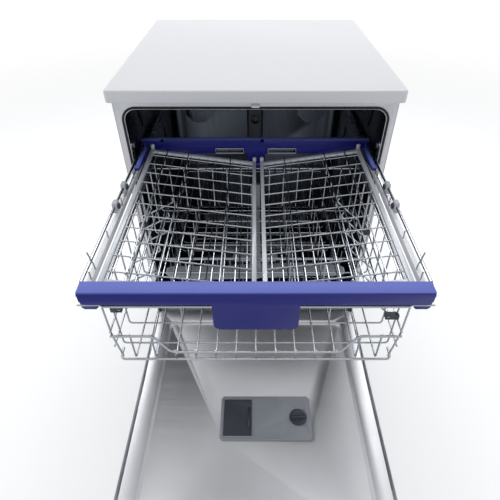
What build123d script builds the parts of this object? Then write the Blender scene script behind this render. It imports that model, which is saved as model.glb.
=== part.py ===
from build123d import *
import os
from math import atan2, cos, degrees, hypot, pi, radians, sin, sqrt

os.makedirs("parts", exist_ok=True)

# A 60 cm free-standing dishwasher, shown with its door open and its upper rack pulled out.
# The upper rack carries two cutlery trays between a front bar with a grip and a rear bar.
# While it is modelled, x runs to the right, y into the machine from the cabinet's front plane,
# and z up from the floor. Everything is in millimetres.

# Cabinet
machine_width = 598.0
cabinet_depth = 554.0
cabinet_height = 820.0
worktop_thickness = 25.0
worktop_overhang = 40.0
panel_sheet = 0.8
front_sheet = 2.0
side_gap = 16.0
rear_gap = 16.0
base_height = 78.0
base_wall = 3.0
base_front = 40.0
base_rear = 520.0
foot_height = 22.0
kick_height = 92.0

# Tub
tub_sheet = 0.8
ceiling_gap = 23.0
tub_corner = 28.0
tub_top_corner = 22.0
track_z = 168.0
well_depth = 38.0
well_length = 410.0
well_side = 58.0
well_slope = 30.0
well_corner = 46.0
opening_lip = 4.5
opening_drop = 6.0
opening_corner = 26.0
sump_radius = 110.0
hub_from_front = 280.0

# Door
door_thickness = 46.0
door_face_gap = 2.0
door_top_gap = 5.0
door_overlap = 41.0
control_height = 110.0
hinge_behind_face = 13.0
door_sheet = 1.0
door_rim = 37.0
door_recess = 13.0
panel_wall = 3.0
button_width = 22.0
button_tall = 10.0
button_travel = 2.5

# Upper rack
rack_length = 511.0
rack_travel = 424.0
rack_closed_front = 7.0
bar_above_track = 510.0
bar_gap = 3.5
bar_depth = 28.0
bar_height = 26.0
bar_wall = 3.0
bar_end_round = 11.0
rear_bar_depth = 18.0
rear_bar_height = 20.0
rear_bar_rise = 6.0
grip_width = 137.0
grip_drop = 85.0
basket_inset = 28.0
basket_front_gap = 14.0
rim_drop = 40.0
side_wire_drop = 117.0
dip_drop = 162.0
floor_drop = 186.0
dip_half_width = 150.0
dip_run = 26.0
rear_rim_drop = 30.0
rim_wire = 5.0
wire = 3.4
wire_pitch = 36.0
thin_wire = 2.2
mesh_wire = 2.6
weld_gap = 0.06
drum_sides = 16

# Cutlery trays
tray_outer_inset = 27.0
tray_outer_drop = 15.0
tray_inner_drop = 50.0
left_tray_inner_x = -3.0
right_tray_inner_x = 16.0
tray_bar_width = 11.5
tray_bar_height = 8.0
tray_pin = 3.5
comb_height = 14.0

# Cup shelves
left_shelf_inset = 11.0
left_shelf_drop = 89.0
left_shelf_reach = 64.0
left_shelf_angle = 29.0
right_shelf_inset = 15.0
right_shelf_drop = 108.0
right_shelf_reach = 74.0
right_shelf_angle = 44.0
shelf_lip = 10.0

# Rails
rail_height = 20.0
rail_drop = 28.0
rail_sheet = 1.2
slide_gap = 0.6
middle_rail_length = 450.0

# Lower basket
lower_inset = 32.0
lower_front = 26.0
lower_length = 476.0
lower_floor_above_track = 28.0
lower_rim_height = 150.0
lower_rear_rise = 40.0
roller_radius = 19.0
roller_width = 13.0
axle_radius = 3.0
folding_tine_length = 96.0

# Clearances
running_gap = 0.06
seat_gap = 0.3
fit_gap = 0.4

# Places that follow from the sizes above
half_width = machine_width / 2
tub_half = half_width - side_gap
tub_rear = cabinet_depth - rear_gap
opening_half = tub_half - opening_lip
base_top = foot_height + base_height
tub_ceiling = cabinet_height - ceiling_gap
opening_top = tub_ceiling - opening_drop
well_floor = track_z - well_depth
well_half_x = tub_half - well_side
hinge_y = -door_face_gap - hinge_behind_face
hinge_z = track_z - hinge_behind_face
door_top = cabinet_height - door_top_gap
door_bottom = hinge_z - door_overlap
door_reach = door_top - hinge_z - hinge_y
origin_shift = (door_reach - cabinet_depth) / 2
bar_top = track_z + bar_above_track
bar_half = opening_half - bar_gap
bar_front = rack_closed_front - rack_travel
bar_back = bar_front + bar_depth
bar_bottom = bar_top - bar_height
rear_bar_back = bar_front + rack_length
rear_bar_front = rear_bar_back - rear_bar_depth
rear_bar_top = bar_top + rear_bar_rise
rear_bar_bottom = rear_bar_top - rear_bar_height
basket_half = bar_half - basket_inset
basket_front = bar_front + basket_front_gap
basket_back = rear_bar_front - 6.0
basket_floor = bar_top - floor_drop
rim_z = bar_top - rim_drop
rail_top = bar_top - rail_drop + rail_height / 2
rail_bottom = rail_top - rail_height
lower_floor = track_z + lower_floor_above_track
lower_half = tub_half - lower_inset
lower_rim = lower_floor + lower_rim_height
lower_back = lower_front + lower_length
axle_z = track_z + roller_radius


def block(x0, x1, y0, y1, z0, z1):
    """A box between two corners."""
    return Pos((x0 + x1) / 2, (y0 + y1) / 2, (z0 + z1) / 2) * Box(x1 - x0, y1 - y0, z1 - z0)


def mirrored(shape):
    """The shape's twin on the other side of the machine."""
    return mirror(shape, about=Plane.YZ)


def upright_disc(x, y, z0, z1, radius):
    """A cylinder that stands on z0."""
    return Pos(x, y, (z0 + z1) / 2) * Cylinder(radius, z1 - z0)


def cross_disc(x0, x1, y, z, radius):
    """A cylinder that lies along x."""
    return Pos((x0 + x1) / 2, y, z) * Rot(0, 90, 0) * Cylinder(radius, abs(x1 - x0))


def deep_disc(x, y0, y1, z, radius):
    """A cylinder that lies along y."""
    return Pos(x, (y0 + y1) / 2, z) * Rot(90, 0, 0) * Cylinder(radius, y1 - y0)


def drum_sketch(radius):
    """The outline of a round piece that nothing turns on, with few enough sides to stay light."""
    return RegularPolygon(radius, drum_sides)


def hole(radius):
    """The radius of a drum-shaped hole that a round piece of this radius goes through."""
    return radius / cos(pi / drum_sides)


def upright_drum(x, y, z0, z1, radius):
    """A light cylinder that stands on z0."""
    return extrude(Pos(x, y, z0) * drum_sketch(radius), amount=z1 - z0)


def cross_drum(x0, x1, y, z, radius):
    """A light cylinder that lies along x."""
    return side_plate(Pos(y, z) * drum_sketch(radius), x0, x1)


def deep_drum(x, y0, y1, z, radius):
    """A light cylinder that lies along y."""
    return front_plate(Pos(x, z) * drum_sketch(radius), y0, y1)


def front_plate(sketch, y0, y1):
    """A sketch drawn as seen from the front, between two depths."""
    return extrude(Plane.XZ.offset(-y1) * sketch, amount=y1 - y0)


def side_plate(sketch, x0, x1):
    """A sketch whose x is the depth and whose y is the height, between two widths."""
    return extrude(Plane.YZ.offset(x0) * sketch, amount=x1 - x0)


def rod(points, diameter, bend=0.0, sides=6):
    """A rod of a rack along straight runs. Its corners are cut back by bend."""
    path = [Vector(p) for p in points]
    if bend:
        path = eased(path, bend)
    run = path[1] - path[0]
    beside = Vector(0, 1, 0) if abs(run.normalized().Z) > 0.9 else Vector(0, 0, 1)
    start = Plane(origin=path[0], x_dir=run.cross(beside), z_dir=run)
    section = start * RegularPolygon(diameter / 2, sides if diameter > mesh_wire else 4)
    if len(path) == 2:
        return extrude(section, amount=run.length)
    return sweep(section, path=Polyline(*path), transition=Transition.RIGHT)


def eased(path, bend):
    """The path with two points in place of each corner."""
    points = [path[0]]
    for before, corner, after in zip(path, path[1:], path[2:]):
        points.append(corner + (before - corner).normalized() * bend)
        points.append(corner + (after - corner).normalized() * bend)
    return points + [path[-1]]


def spread(first, last, count):
    """Evenly spaced values from first to last."""
    return [first + (last - first) * i / (count - 1) for i in range(count)]


def solids_in(shapes):
    """Every solid of a shape, or of a list of shapes."""
    if not isinstance(shapes, (list, tuple)):
        shapes = [shapes]
    return [solid for shape in shapes for solid in shape.solids()]


def write(name, shapes):
    """One file for a node, moved so that the machine is centred on its origin."""
    moved = [Pos(0, origin_shift, 0) * solid for solid in solids_in(shapes)]
    export_step(Compound(moved), f"parts/{name}.step")


def opened(shape):
    """A piece of the door, drawn shut, swung down to lie open."""
    return shape.rotate(Axis((0, hinge_y, hinge_z), (1, 0, 0)), 90)


# Cabinet

foot_x = half_width - 44.0
foot_front_y = base_front + 32.0
foot_rear_y = base_rear - 40.0
stem_radius = 5.0
boss_radius = 12.0
boss_height = 44.0
stem_top = foot_height + boss_height + 4.0
base_half = half_width - 5.0


foot_pad_radius = 20.0
foot_pad_height = 6.0
foot_hexagon = 11.0


def foot(x, y):
    """A screw-in levelling foot: a pad, a hexagon for the spanner and the stem."""
    hexagon_top = foot_height - 3.0
    pad = upright_drum(x, y, 0, foot_pad_height, foot_pad_radius)
    outline = Pos(x, y, foot_pad_height) * RegularPolygon(foot_hexagon, 6)
    hexagon = extrude(outline, hexagon_top - foot_pad_height)
    return pad + hexagon + upright_drum(x, y, hexagon_top, stem_top, stem_radius)


base_corner = 4.0
base_rib_height = 44.0
base_rib_length = 26.0
base_rib_inset = 60.0


def base_tray():
    """The moulded tray that the machine stands on, with its foot bosses and the pump cradle."""
    tray = block(-base_half, base_half, base_front, base_rear, foot_height, base_top)
    tray = chamfer(tray.edges().filter_by(Axis.Z), base_corner)
    inner = base_half - base_wall
    tray -= block(-inner, inner, base_front + base_wall, base_rear - base_wall,
                  foot_height + base_wall, base_top + 1)
    for x in (-foot_x, foot_x):
        for y in (foot_front_y, foot_rear_y):
            tray += upright_drum(x, y, foot_height, foot_height + boss_height, boss_radius)
            tray -= upright_drum(x, y, foot_height - 1, foot_height + boss_height + 1,
                                 stem_radius + running_gap)
    for y in spread(foot_front_y + base_rib_inset, foot_rear_y - base_rib_inset, 3):
        rib = block(inner - base_rib_length, inner, y, y + base_wall, foot_height + 1,
                    foot_height + base_rib_height)
        tray = tray + rib + mirrored(rib)
    return tray


kick_sheet = 3.2
kick_corner = 14.0
vent_width = 46.0
vent_height = 7.0
vent_inset = 70.0
vent_drop = 20.0


def kick_plate():
    """The set-back plate under the door, with its row of vents."""
    front = base_front - fit_gap - kick_sheet
    half = half_width - 2.0
    bottom = base_top - kick_height
    sketch = Pos(0, (bottom + base_top) / 2) * Rectangle(2 * half, base_top - bottom)
    sketch = fillet(sketch.vertices().group_by(Axis.Y)[0], kick_corner)
    plate = front_plate(sketch, front, base_front - fit_gap)
    vent = Pos(0, base_top - vent_drop) * Rectangle(vent_width, vent_height)
    for x in spread(-half + vent_inset, half - vent_inset, 7):
        plate -= front_plate(Pos(x, 0) * vent, front - 1, base_front)
    return plate


def cavity(grow):
    """The space inside the tub, grown by a wall on every closed side."""
    half = tub_half + grow
    room = block(-half, half, front_sheet, tub_rear + grow, track_z - grow, tub_ceiling + grow)
    rear_corners = room.edges().filter_by(Axis.Z).group_by(Axis.Y)[-1]
    room = fillet(rear_corners, tub_corner + grow)
    roof = room.faces().sort_by(Axis.Z)[-1].edges()
    front_edge = roof.group_by(Axis.Y)[0]
    room = fillet([e for e in roof if e not in front_edge], tub_top_corner + grow)
    mouth = RectangleRounded(2 * (well_half_x + grow), well_length + 2 * grow, well_corner + grow)
    well = extrude(Pos(0, hub_from_front, track_z) * mouth, amount=-(well_depth + grow),
                   taper=degrees(atan2(well_slope, well_depth)))
    return room + well


salt_x = -well_half_x + well_slope + 46.0
salt_y = hub_from_front - 20.0
neck_radius = 32.0
float_x = well_half_x - well_slope - 34.0
float_y = hub_from_front - 110.0
float_stem = 5.0
pressing = 2.0
bead_margin = 27.0
bead_width = 13.0
bead_lean = 22
bead_inset = 130.0
tongue_width = 92.0
tongue_length = 215.0
tongue_drop = 28.0


def tub():
    """The pressed steel tub with its side and rear beads, and the openings in its floor."""
    shell = cavity(tub_sheet)
    bead_fields = ((rail_top, tub_ceiling), (lower_rim + bead_margin, rail_bottom - bead_margin))
    beads = [(y, (low + high) / 2, high - low - 2 * min(bead_margin, (high - low) / 5))
             for low, high in bead_fields for y in spread(bead_inset, tub_rear - bead_inset, 4)]
    space = cavity(0)
    for y, z, length in beads:
        outline = Pos(y, z) * Rot(0, 0, bead_lean) * Rectangle(bead_width, length)
        bead = extrude(Plane.YZ.offset(tub_half) * outline, amount=-pressing, taper=45)
        space -= bead
        space -= mirrored(bead)
    tongue = Box(tongue_width, 2 * pressing, tongue_length)
    tongue = Pos(-tub_half * 0.68, tub_rear, rail_top - tongue_drop) * tongue
    tongue = chamfer(tongue.edges().filter_by(Axis.Y), tongue_drop)
    space -= tongue
    space -= mirrored(tongue)
    shell -= space
    shell -= upright_drum(0, hub_from_front, 0, track_z, hole(sump_radius))
    shell -= upright_drum(salt_x, salt_y, 0, track_z, neck_radius + fit_gap)
    shell -= upright_drum(float_x, float_y, 0, track_z, float_stem + running_gap)
    return shell


frame_bottom = hinge_z - 15.0
frame_half = half_width - 1.5
hinge_notch_x = half_width - 9.5
hinge_notch_top = hinge_z + 62.0
striker_z = opening_top + 10.0
striker_reach = 11.0
striker_half = 9.0
striker_rod = 4.0
striker_bend = 5.0
frame_flange = 14.0


def front_frame():
    """The painted front of the cabinet round the tub's opening, with the door's striker."""
    height = cabinet_height - frame_bottom
    sketch = Pos(0, frame_bottom + height / 2) * Rectangle(2 * frame_half, height)
    opening_height = opening_top - track_z
    opening = Rectangle(2 * opening_half, opening_height)
    opening = fillet(opening.vertices().group_by(Axis.Y)[-1], opening_corner)
    sketch -= Pos(0, track_z + opening_height / 2) * opening
    notch_width = frame_half - hinge_notch_x
    notch_height = hinge_notch_top - frame_bottom
    for side in (-1, 1):
        sketch -= Pos(side * (frame_half - notch_width / 2),
                      frame_bottom + notch_height / 2) * Rectangle(notch_width, notch_height)
    frame = front_plate(sketch, 0, front_sheet)
    bail = block(-striker_half, striker_half, -striker_reach, 1.0,
                 striker_z - striker_rod / 2, striker_z + striker_rod / 2)
    bail = fillet(bail.edges().filter_by(Axis.Z).group_by(Axis.Y)[0], striker_bend)
    flange = block(frame_half - panel_sheet, frame_half, front_sheet - 0.5, frame_flange,
                   hinge_notch_top + 2.0, cabinet_height)
    return frame + bail + flange + mirrored(flange)


seal_width = 5.5
seal_depth = 1.6
seal_edge = 0.7
lip_reach = 7.0
lip_thickness = 4.0


def door_seal():
    """The rubber seal round the opening, and the lip under the sill."""
    height = opening_top - track_z
    grown = seal_width + 1.0
    ring = Rectangle(2 * (opening_half + grown), height + grown)
    ring = fillet(ring.vertices().group_by(Axis.Y)[-1], opening_corner + grown)
    inside = Pos(0, -grown / 2) * Rectangle(2 * (opening_half + 1.0), height + 2.0)
    inside = fillet(inside.vertices().group_by(Axis.Y)[-1], opening_corner)
    seal = Pos(0, track_z + (height + grown) / 2) * (ring - inside)
    seal = front_plate(seal, -seal_depth, -weld_gap)
    seal = chamfer(seal.faces().sort_by(Axis.Y)[0].edges(), seal_edge)
    lip = block(-opening_half, opening_half, -lip_reach, -weld_gap, frame_bottom,
                frame_bottom + lip_thickness)
    return [seal, lip]


panel_fold = 12.0
panel_bottom = base_top + 4.0


def side_panel():
    """The right side panel with its folded rear, upper and lower edges."""
    outer = half_width
    inner = outer - panel_sheet
    folded = outer - panel_fold
    rear = cabinet_depth - front_sheet
    panel = block(inner, outer, 0, rear, panel_bottom, cabinet_height)
    panel -= block(inner - 1, outer + 1, -1, base_front - 2.0, base_top, frame_bottom + 4.0)
    panel += block(folded, inner, rear - panel_sheet, rear, panel_bottom, cabinet_height)
    panel += block(folded, inner, spring_anchor_y + 24.0, rear, panel_bottom, panel_bottom + panel_sheet)
    panel += block(folded, inner, frame_flange + 16.0, rear, cabinet_height - panel_sheet, cabinet_height)
    return panel


worktop_corner = 9.0
worktop_edge = 2.5
worktop_skin = 8.0
worktop_rim = 30.0


def top_panel():
    """The worktop, with eased edges and a raised rear edge."""
    top = cabinet_height + worktop_thickness
    panel = block(-half_width, half_width, -worktop_overhang, cabinet_depth,
                  cabinet_height + weld_gap, top)
    panel = fillet(panel.edges().filter_by(Axis.Z), worktop_corner)
    panel = chamfer(panel.faces().sort_by(Axis.Z)[-1].edges(), worktop_edge)
    panel -= block(-half_width + worktop_rim, half_width - worktop_rim, worktop_rim,
                   cabinet_depth - worktop_rim, cabinet_height - 1, top - worktop_skin)
    return panel


rear_half = half_width - 6.0
rear_face = cabinet_depth - front_sheet + weld_gap
rear_bead_width = 10.0
rear_bead_depth = 3.6
rear_bead_length = 460.0
louvre_width = 60.0
louvre_height = 6.0
louvre_pitch = 14.0
louvre_drop = 60.0
louvre_inset = 50.0
screw_head = 4.0
screw_inset = 6.0


def rear_panel():
    """The back plate with its louvres and stiffening beads."""
    low = base_top + 6.0
    half = rear_half
    plate = block(-half, half, rear_face, rear_face + panel_sheet, low, cabinet_height - 2.0)
    bead = Box(rear_bead_width, rear_bead_depth, rear_bead_length)
    bead = Pos(0, rear_face, (low + cabinet_height) / 2) * bead
    for x in (-half / 2, half / 2):
        plate += Pos(x, 0, 0) * bead
    louvre = Rectangle(louvre_width, louvre_height)
    for row in range(4):
        z = cabinet_height - louvre_drop - louvre_pitch * row
        for x in (-half + louvre_inset, half - louvre_inset):
            plate -= front_plate(Pos(x, z) * louvre, cabinet_depth - 5, cabinet_depth + 1)
    return plate


def screws():
    """The hexagon-headed screws of the back plate."""
    heads = []
    y = rear_face + panel_sheet
    for x in (-rear_half + screw_inset, rear_half - screw_inset):
        for z in spread(base_top + 5 * screw_inset, cabinet_height - 4 * screw_inset, 4):
            heads.append(front_plate(Pos(x, z) * RegularPolygon(screw_head, 6), y + weld_gap, y + 1.1))
    return heads


# Water circuit inside the tub and the base

duct_half = 27.0
duct_depth = 17.0
port_above_floor = 49.0
port_z = basket_floor + port_above_floor
port_bore = 13.0
port_lip = 4.0
head_z = tub_ceiling - 20.0
head_pin = 5.0
head_radius = 20.0
head_height = 8.0
blade_reach = 78.0
blade_half = 9.0
ceiling_arm_half = 15.0
ceiling_arm_height = 14.0
duct_edge = 5.0


def water_duct():
    """The duct up the rear wall and along the ceiling, with the upper rack's docking port."""
    front = tub_rear - duct_depth
    back = tub_rear - weld_gap
    riser = block(-duct_half, duct_half, front, back, track_z + seat_gap, tub_ceiling - 3.0)
    riser = chamfer(riser.edges().filter_by(Axis.Z).group_by(Axis.Y)[0], duct_edge)
    arm = block(-ceiling_arm_half, ceiling_arm_half, hub_from_front - ceiling_arm_half, back - 2,
                tub_ceiling - ceiling_arm_height, tub_ceiling - weld_gap)
    arm = chamfer(arm.edges().filter_by(Axis.Y).group_by(Axis.Z)[0], 4.0)
    collar = deep_drum(0, front - port_lip, front + 1.0, port_z, port_bore + 4.0)
    boss = upright_drum(0, hub_from_front, head_z + seat_gap, tub_ceiling - 10.0, 12.0)
    pin = upright_drum(0, hub_from_front, head_z - 5.0, tub_ceiling - 12.0, head_pin)
    duct = (riser + arm + collar + boss + pin) & cavity(-weld_gap)
    return duct - deep_drum(0, front - port_lip - 1, front + 9.0, port_z, port_bore)


def top_spray_head():
    """The small spray head that spins under the ceiling."""
    low = head_z - head_height
    disc = upright_drum(0, hub_from_front, low, head_z, head_radius)
    for turn in (0, 120, 240):
        blade = block(head_radius / 2, blade_reach, -blade_half, blade_half, low + 1, head_z - 1)
        blade = chamfer(blade.edges().filter_by(Axis.Z).group_by(Axis.X)[-1], 6.0)
        disc += Pos(0, hub_from_front, 0) * Rot(0, 0, turn) * blade
    return disc - upright_disc(0, hub_from_front, low + 2.5, head_z + 1, head_pin + running_gap)


sump_floor = base_top - 28.0
sump_wall = 6.0
column_radius = 15.0
arm_pin = 8.0
arm_low = track_z + 3.0
arm_high = track_z + 14.0
cup_x = 56.0
cup_radius = 34.0
filter_low = well_floor - tub_sheet
bowl_radius = sump_radius - 8.0
filter_sheet = 2.0
slot_length = 26.0
slot_width = 5.0
slot_radius = 78.0
cup_wall = 2.5
cup_window = 9.0


def sump():
    """The sump bowl under the filter, with the column that feeds the lower spray arm."""
    flange_top = filter_low - weld_gap
    bowl = upright_drum(0, hub_from_front, flange_top - 3.0, flange_top, sump_radius + 8.0)
    bowl += upright_drum(0, hub_from_front, sump_floor, flange_top, bowl_radius)
    bowl -= upright_drum(0, hub_from_front, sump_floor + sump_wall, flange_top + 1, bowl_radius - sump_wall)
    bowl += upright_drum(0, hub_from_front, sump_floor, arm_low - 4.0, column_radius)
    return bowl + upright_drum(0, hub_from_front, arm_low - 5.0, arm_high + 4.0, arm_pin)


def filter_plate():
    """The fine filter: a round plate with rings of holes, the column's hole and the cup's."""
    radius = sump_radius - 2.0
    low = filter_low
    high = low + filter_sheet
    plate = upright_drum(0, hub_from_front, low, high, radius)
    plate -= upright_drum(0, hub_from_front, low - 1, high + 1, column_radius + fit_gap)
    plate -= upright_drum(cup_x, hub_from_front, low - 1, high + 1, hole(cup_radius + fit_gap))
    slot = Pos(slot_radius, 0, 0) * Box(slot_length, slot_width, 2 * filter_sheet)
    for turn in range(60, 301, 40):
        plate -= Pos(0, hub_from_front, low + filter_sheet / 2) * Rot(0, 0, turn) * slot
    return plate


def filter_cup():
    """The coarse filter cup, its windows and its grip bar."""
    x = cup_x
    low = sump_floor + sump_wall + 6.0
    top = well_floor + 14.0
    cup = upright_drum(x, hub_from_front, low, top, cup_radius)
    rest = filter_low + filter_sheet + weld_gap
    cup += upright_drum(x, hub_from_front, rest, rest + 3.0 - weld_gap, cup_radius + 4.0)
    cup -= upright_drum(x, hub_from_front, low + 2.0, top + 1, cup_radius - cup_wall)
    for turn in (0, 90):
        window = Rot(0, 0, turn) * Box(2 * cup_radius + 6, cup_window, well_floor - low - 12.0)
        cup -= Pos(x, hub_from_front, (well_floor + low) / 2 - 2.0) * window
    bar = block(-cup_radius + 1, cup_radius - 1, -3.0, 3.0, top - 8.0, top + 8.0)
    centring_pin = upright_disc(x, hub_from_front, low - 3.0, low + 1.0, 6.0)
    return cup + centring_pin + Pos(x, hub_from_front, 0) * bar


tank_left, tank_right = 55.0, 38.0
tank_front, tank_back = 110.0, 120.0
neck_wall = 3.0
neck_rise = 4.0


def softener_tank():
    """The salt and softener container beside the sump, with its neck through the tub floor."""
    under = well_floor - tub_sheet - 2.0
    tank = block(salt_x - tank_left, salt_x + tank_right, salt_y - tank_front, salt_y + tank_back,
                 foot_height + base_wall + 4.0, under - 6.0)
    tank = chamfer(tank.edges().filter_by(Axis.Z), 9.0)
    tank += upright_drum(salt_x, salt_y, under - 8.0, well_floor + neck_rise, neck_radius)
    return tank - upright_drum(salt_x, salt_y, under - 40.0, well_floor + neck_rise + 1,
                               hole(neck_radius - neck_wall))


def salt_cap():
    """The screw cap on the softener's neck."""
    low = well_floor + neck_rise + seat_gap
    cap = upright_drum(salt_x, salt_y, low, low + 5.0, neck_radius + 5.0)
    cap += upright_drum(salt_x, salt_y, well_floor - 12.0, low + 1.0, neck_radius - neck_wall - running_gap)
    cap += upright_disc(salt_x, salt_y, well_floor - 15.0, well_floor - 11.0, neck_radius / 2)
    grip = Pos(salt_x, salt_y, low + 9.0) * Box(2 * neck_radius, 8.0, 10.0)
    return cap + grip


float_radius = 22.0
float_height = 20.0


def overflow_float():
    """The float that lifts to trip the overflow switch."""
    dome_low = well_floor + seat_gap
    dome = upright_drum(float_x, float_y, dome_low, dome_low + float_height, float_radius)
    dome = chamfer(dome.edges().group_by(Axis.Z)[-1], 4.0)
    return dome + upright_drum(float_x, float_y, well_floor - 34.0, dome_low + 1.0, float_stem)


pump_y = hub_from_front + sump_radius + 62.0
pump_z = foot_height + 52.0
pump_radius = 46.0
pump_x = 10.0
spout_radius = 16.0
shaft_radius = 4.0
volute_length = 40.0
volute_wall = 4.0
motor_end = 150.0
spout_x = pump_x + volute_length / 2
spout_rise = 12.0
vane_width = 14.0
vane_thickness = 2.5
vane_lean = 24


def bowl_face(x, radius):
    """How far from the sump's axis, along y, a spout of this radius at x meets its bowl."""
    return sqrt(bowl_radius ** 2 - (abs(x) - radius) ** 2) + seat_gap


def circulation_pump():
    """The wash pump: volute, motor can and the spout that joins the sump."""
    volute = cross_drum(pump_x, pump_x + volute_length, pump_y, pump_z, pump_radius)
    volute -= cross_drum(pump_x + volute_wall, pump_x + volute_length - volute_wall, pump_y, pump_z,
                         pump_radius - volute_wall)
    motor = cross_drum(pump_x + volute_length - 2.0, pump_x + motor_end, pump_y, pump_z, pump_radius - 8.0)
    spout_front = hub_from_front + bowl_face(spout_x, spout_radius)
    spout = deep_drum(spout_x, spout_front, pump_y - pump_radius + 5.0, pump_z + spout_rise, spout_radius)
    pump = volute + motor + spout
    bore = cross_disc(pump_x + 3.0, pump_x + 60.0, pump_y, pump_z, shaft_radius + running_gap)
    foot_pad = block(pump_x + 60.0, pump_x + 130.0, pump_y - 20.0, pump_y + 20.0,
                     foot_height + base_wall + seat_gap, pump_z - pump_radius + 14.0)
    return pump + foot_pad - bore


def pump_impeller():
    """The wash pump's impeller on its shaft."""
    radius = pump_radius - volute_wall - 4.0
    disc = cross_drum(pump_x + 24.0, pump_x + 27.0, pump_y, pump_z, radius)
    for turn in range(0, 360, 90):
        vane = Box(vane_width, vane_thickness, radius - 12.0)
        vane = Pos(0, 0, radius / 2 + 4.0) * Rot(vane_lean, 0, 0) * vane
        disc += Pos(pump_x + 17.5, pump_y, pump_z) * Rot(turn, 0, 0) * vane
    return disc + cross_drum(pump_x + 12.0, pump_x + 58.0, pump_y, pump_z, shaft_radius)


drain_pump_x = 61.0
drain_pump_y = hub_from_front - sump_radius - 26.0
drain_pump_z = foot_height + 44.0
drain_pump_radius = 28.0
drain_motor_radius = 22.0
drain_spout = 12.0


def drain_pump():
    """The small drain pump on the front of the sump."""
    x, y, z = drain_pump_x, drain_pump_y, drain_pump_z
    half = 17.0
    pump = cross_drum(x - half, x + half, y, z, drain_pump_radius)
    pump += cross_drum(x + half - 2, x + half + 62.0, y, z, drain_motor_radius)
    spout_back = hub_from_front - bowl_face(x, drain_spout)
    pump += deep_drum(x, y, spout_back, z + drain_spout, drain_spout)
    pad = block(x, x + 60.0, y - 14.0, y + 14.0, foot_height + base_wall + seat_gap,
                z - drain_motor_radius + 4.0)
    return pump + pad - deep_drum(x, y + 24.0, spout_back + 1, z + drain_spout, drain_spout - 3.0)


chamber_thickness = 9.0
chamber_front, chamber_back = 110.0, 390.0
chamber_corner = 16.0


def inlet_chamber():
    """The flat water chamber beside the tub, with its air break and labyrinth ribs."""
    inner = tub_half + tub_sheet + 0.5
    outer = inner + chamber_thickness
    body = block(-outer, -inner, chamber_front, chamber_back, track_z + 60.0, rail_bottom - 60.0)
    body = chamfer(body.edges().filter_by(Axis.X), chamber_corner)
    for z in spread(track_z + 130.0, rail_bottom - 130.0, 4):
        body += block(-outer - 1.6, -outer + 1, chamber_front + 30.0, chamber_back - 30.0, z, z + 6.0)
    return body


inlet_x = -210.0
drain_x = 190.0
hose_z = foot_height + 40.0
inlet_radius = 13.2
drain_radius = 10.5
thread_reach = 30.0
valve_half = 26.0
outlet_half = 20.0


def hose_connections():
    """The water inlet valve and the drain outlet at the lower rear."""
    start = base_rear + seat_gap
    end = start + thread_reach
    low, high = hose_z - outlet_half, hose_z + outlet_half
    valve = block(inlet_x - valve_half, inlet_x + valve_half, start, start + 12.0, low, high)
    thread = deep_disc(inlet_x, start + 10.0, end, hose_z, inlet_radius)
    valve = valve + thread - deep_drum(inlet_x, start + 16.0, end + 1, hose_z, inlet_radius - 4.2)
    outlet = block(drain_x - outlet_half, drain_x + outlet_half, start, start + 5.0, low, high)
    outlet += deep_disc(drain_x, start + 4.0, end, hose_z, drain_radius)
    return [valve, outlet - deep_drum(drain_x, start + 6.0, end + 1, hose_z, drain_radius - 2.5)]


def counterweight():
    """The weight at the back that keeps the machine from tipping with its door down."""
    weight = block(-foot_x + boss_radius + 8.0, -40.0, pump_y - 20.0, base_rear - 16.0,
                   foot_height + base_wall + seat_gap, base_top - 4.0)
    return chamfer(weight.edges().filter_by(Axis.Z), 8.0)


# Hinges

ear_inner = hinge_notch_x + 1.0
ear_outer = ear_inner + 2.5
arm_inner = ear_outer + 0.5
arm_outer = arm_inner + 2.2
pivot_radius = 4.0
spring_anchor_y = 236.0
spring_anchor_z = base_top + 18.0
spring_pin = 2.5
spring_radius = 2.2
tail_reach = 35.0
tail_notch = 14.0
arm_length = 210.0
arm_depth = 26.0
spring_hook = 22.0


def spring_ends():
    """Where the right spring hooks on: the pin on the arm's tail, and the bracket's anchor."""
    x = ear_outer + seat_gap + spring_radius
    tail = Vector(x, hinge_y + tail_reach, hinge_z + tail_reach)
    return tail, Vector(x, spring_anchor_y, spring_anchor_z)


def hinge_bracket():
    """The right hinge plate, with the pivot's bore in its ear and the spring's anchor."""
    with BuildSketch() as outline:
        with BuildLine():
            Polyline((hinge_y - 5.0, hinge_z - 11.0), (hinge_y + 27.0, hinge_z - 9.0),
                     (base_front - 9.0, hinge_z - 13.0), (base_front - 9.0, base_top + 6.0),
                     (spring_anchor_y + 14.0, base_top + 6.0), (spring_anchor_y + 14.0, base_top + 26.0),
                     (100.0, base_top + 26.0), (60.0, hinge_z + 8.0), (hinge_y + 5.0, hinge_z + 12.0),
                     (hinge_y - 5.0, hinge_z + 12.0), (hinge_y - 12.0, hinge_z + 5.0),
                     (hinge_y - 12.0, hinge_z - 5.0), close=True)
        make_face()
        with Locations((hinge_y, hinge_z)):
            Circle(pivot_radius + running_gap, mode=Mode.SUBTRACT)
    plate = side_plate(outline.sketch, ear_inner, ear_outer)
    anchor = cross_drum(ear_outer - 1.0, arm_outer + 1.0, spring_anchor_y, spring_anchor_z, spring_pin)
    foot_flange = block(ear_inner - 14.0, ear_inner + 1.0, base_front + 20.0, spring_anchor_y,
                        base_top + seat_gap, base_top + seat_gap + 3.0)
    web = block(ear_inner, ear_outer, base_front + 20.0, spring_anchor_y,
                base_top + seat_gap, base_top + 10.0)
    return plate + anchor + foot_flange + web


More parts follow.
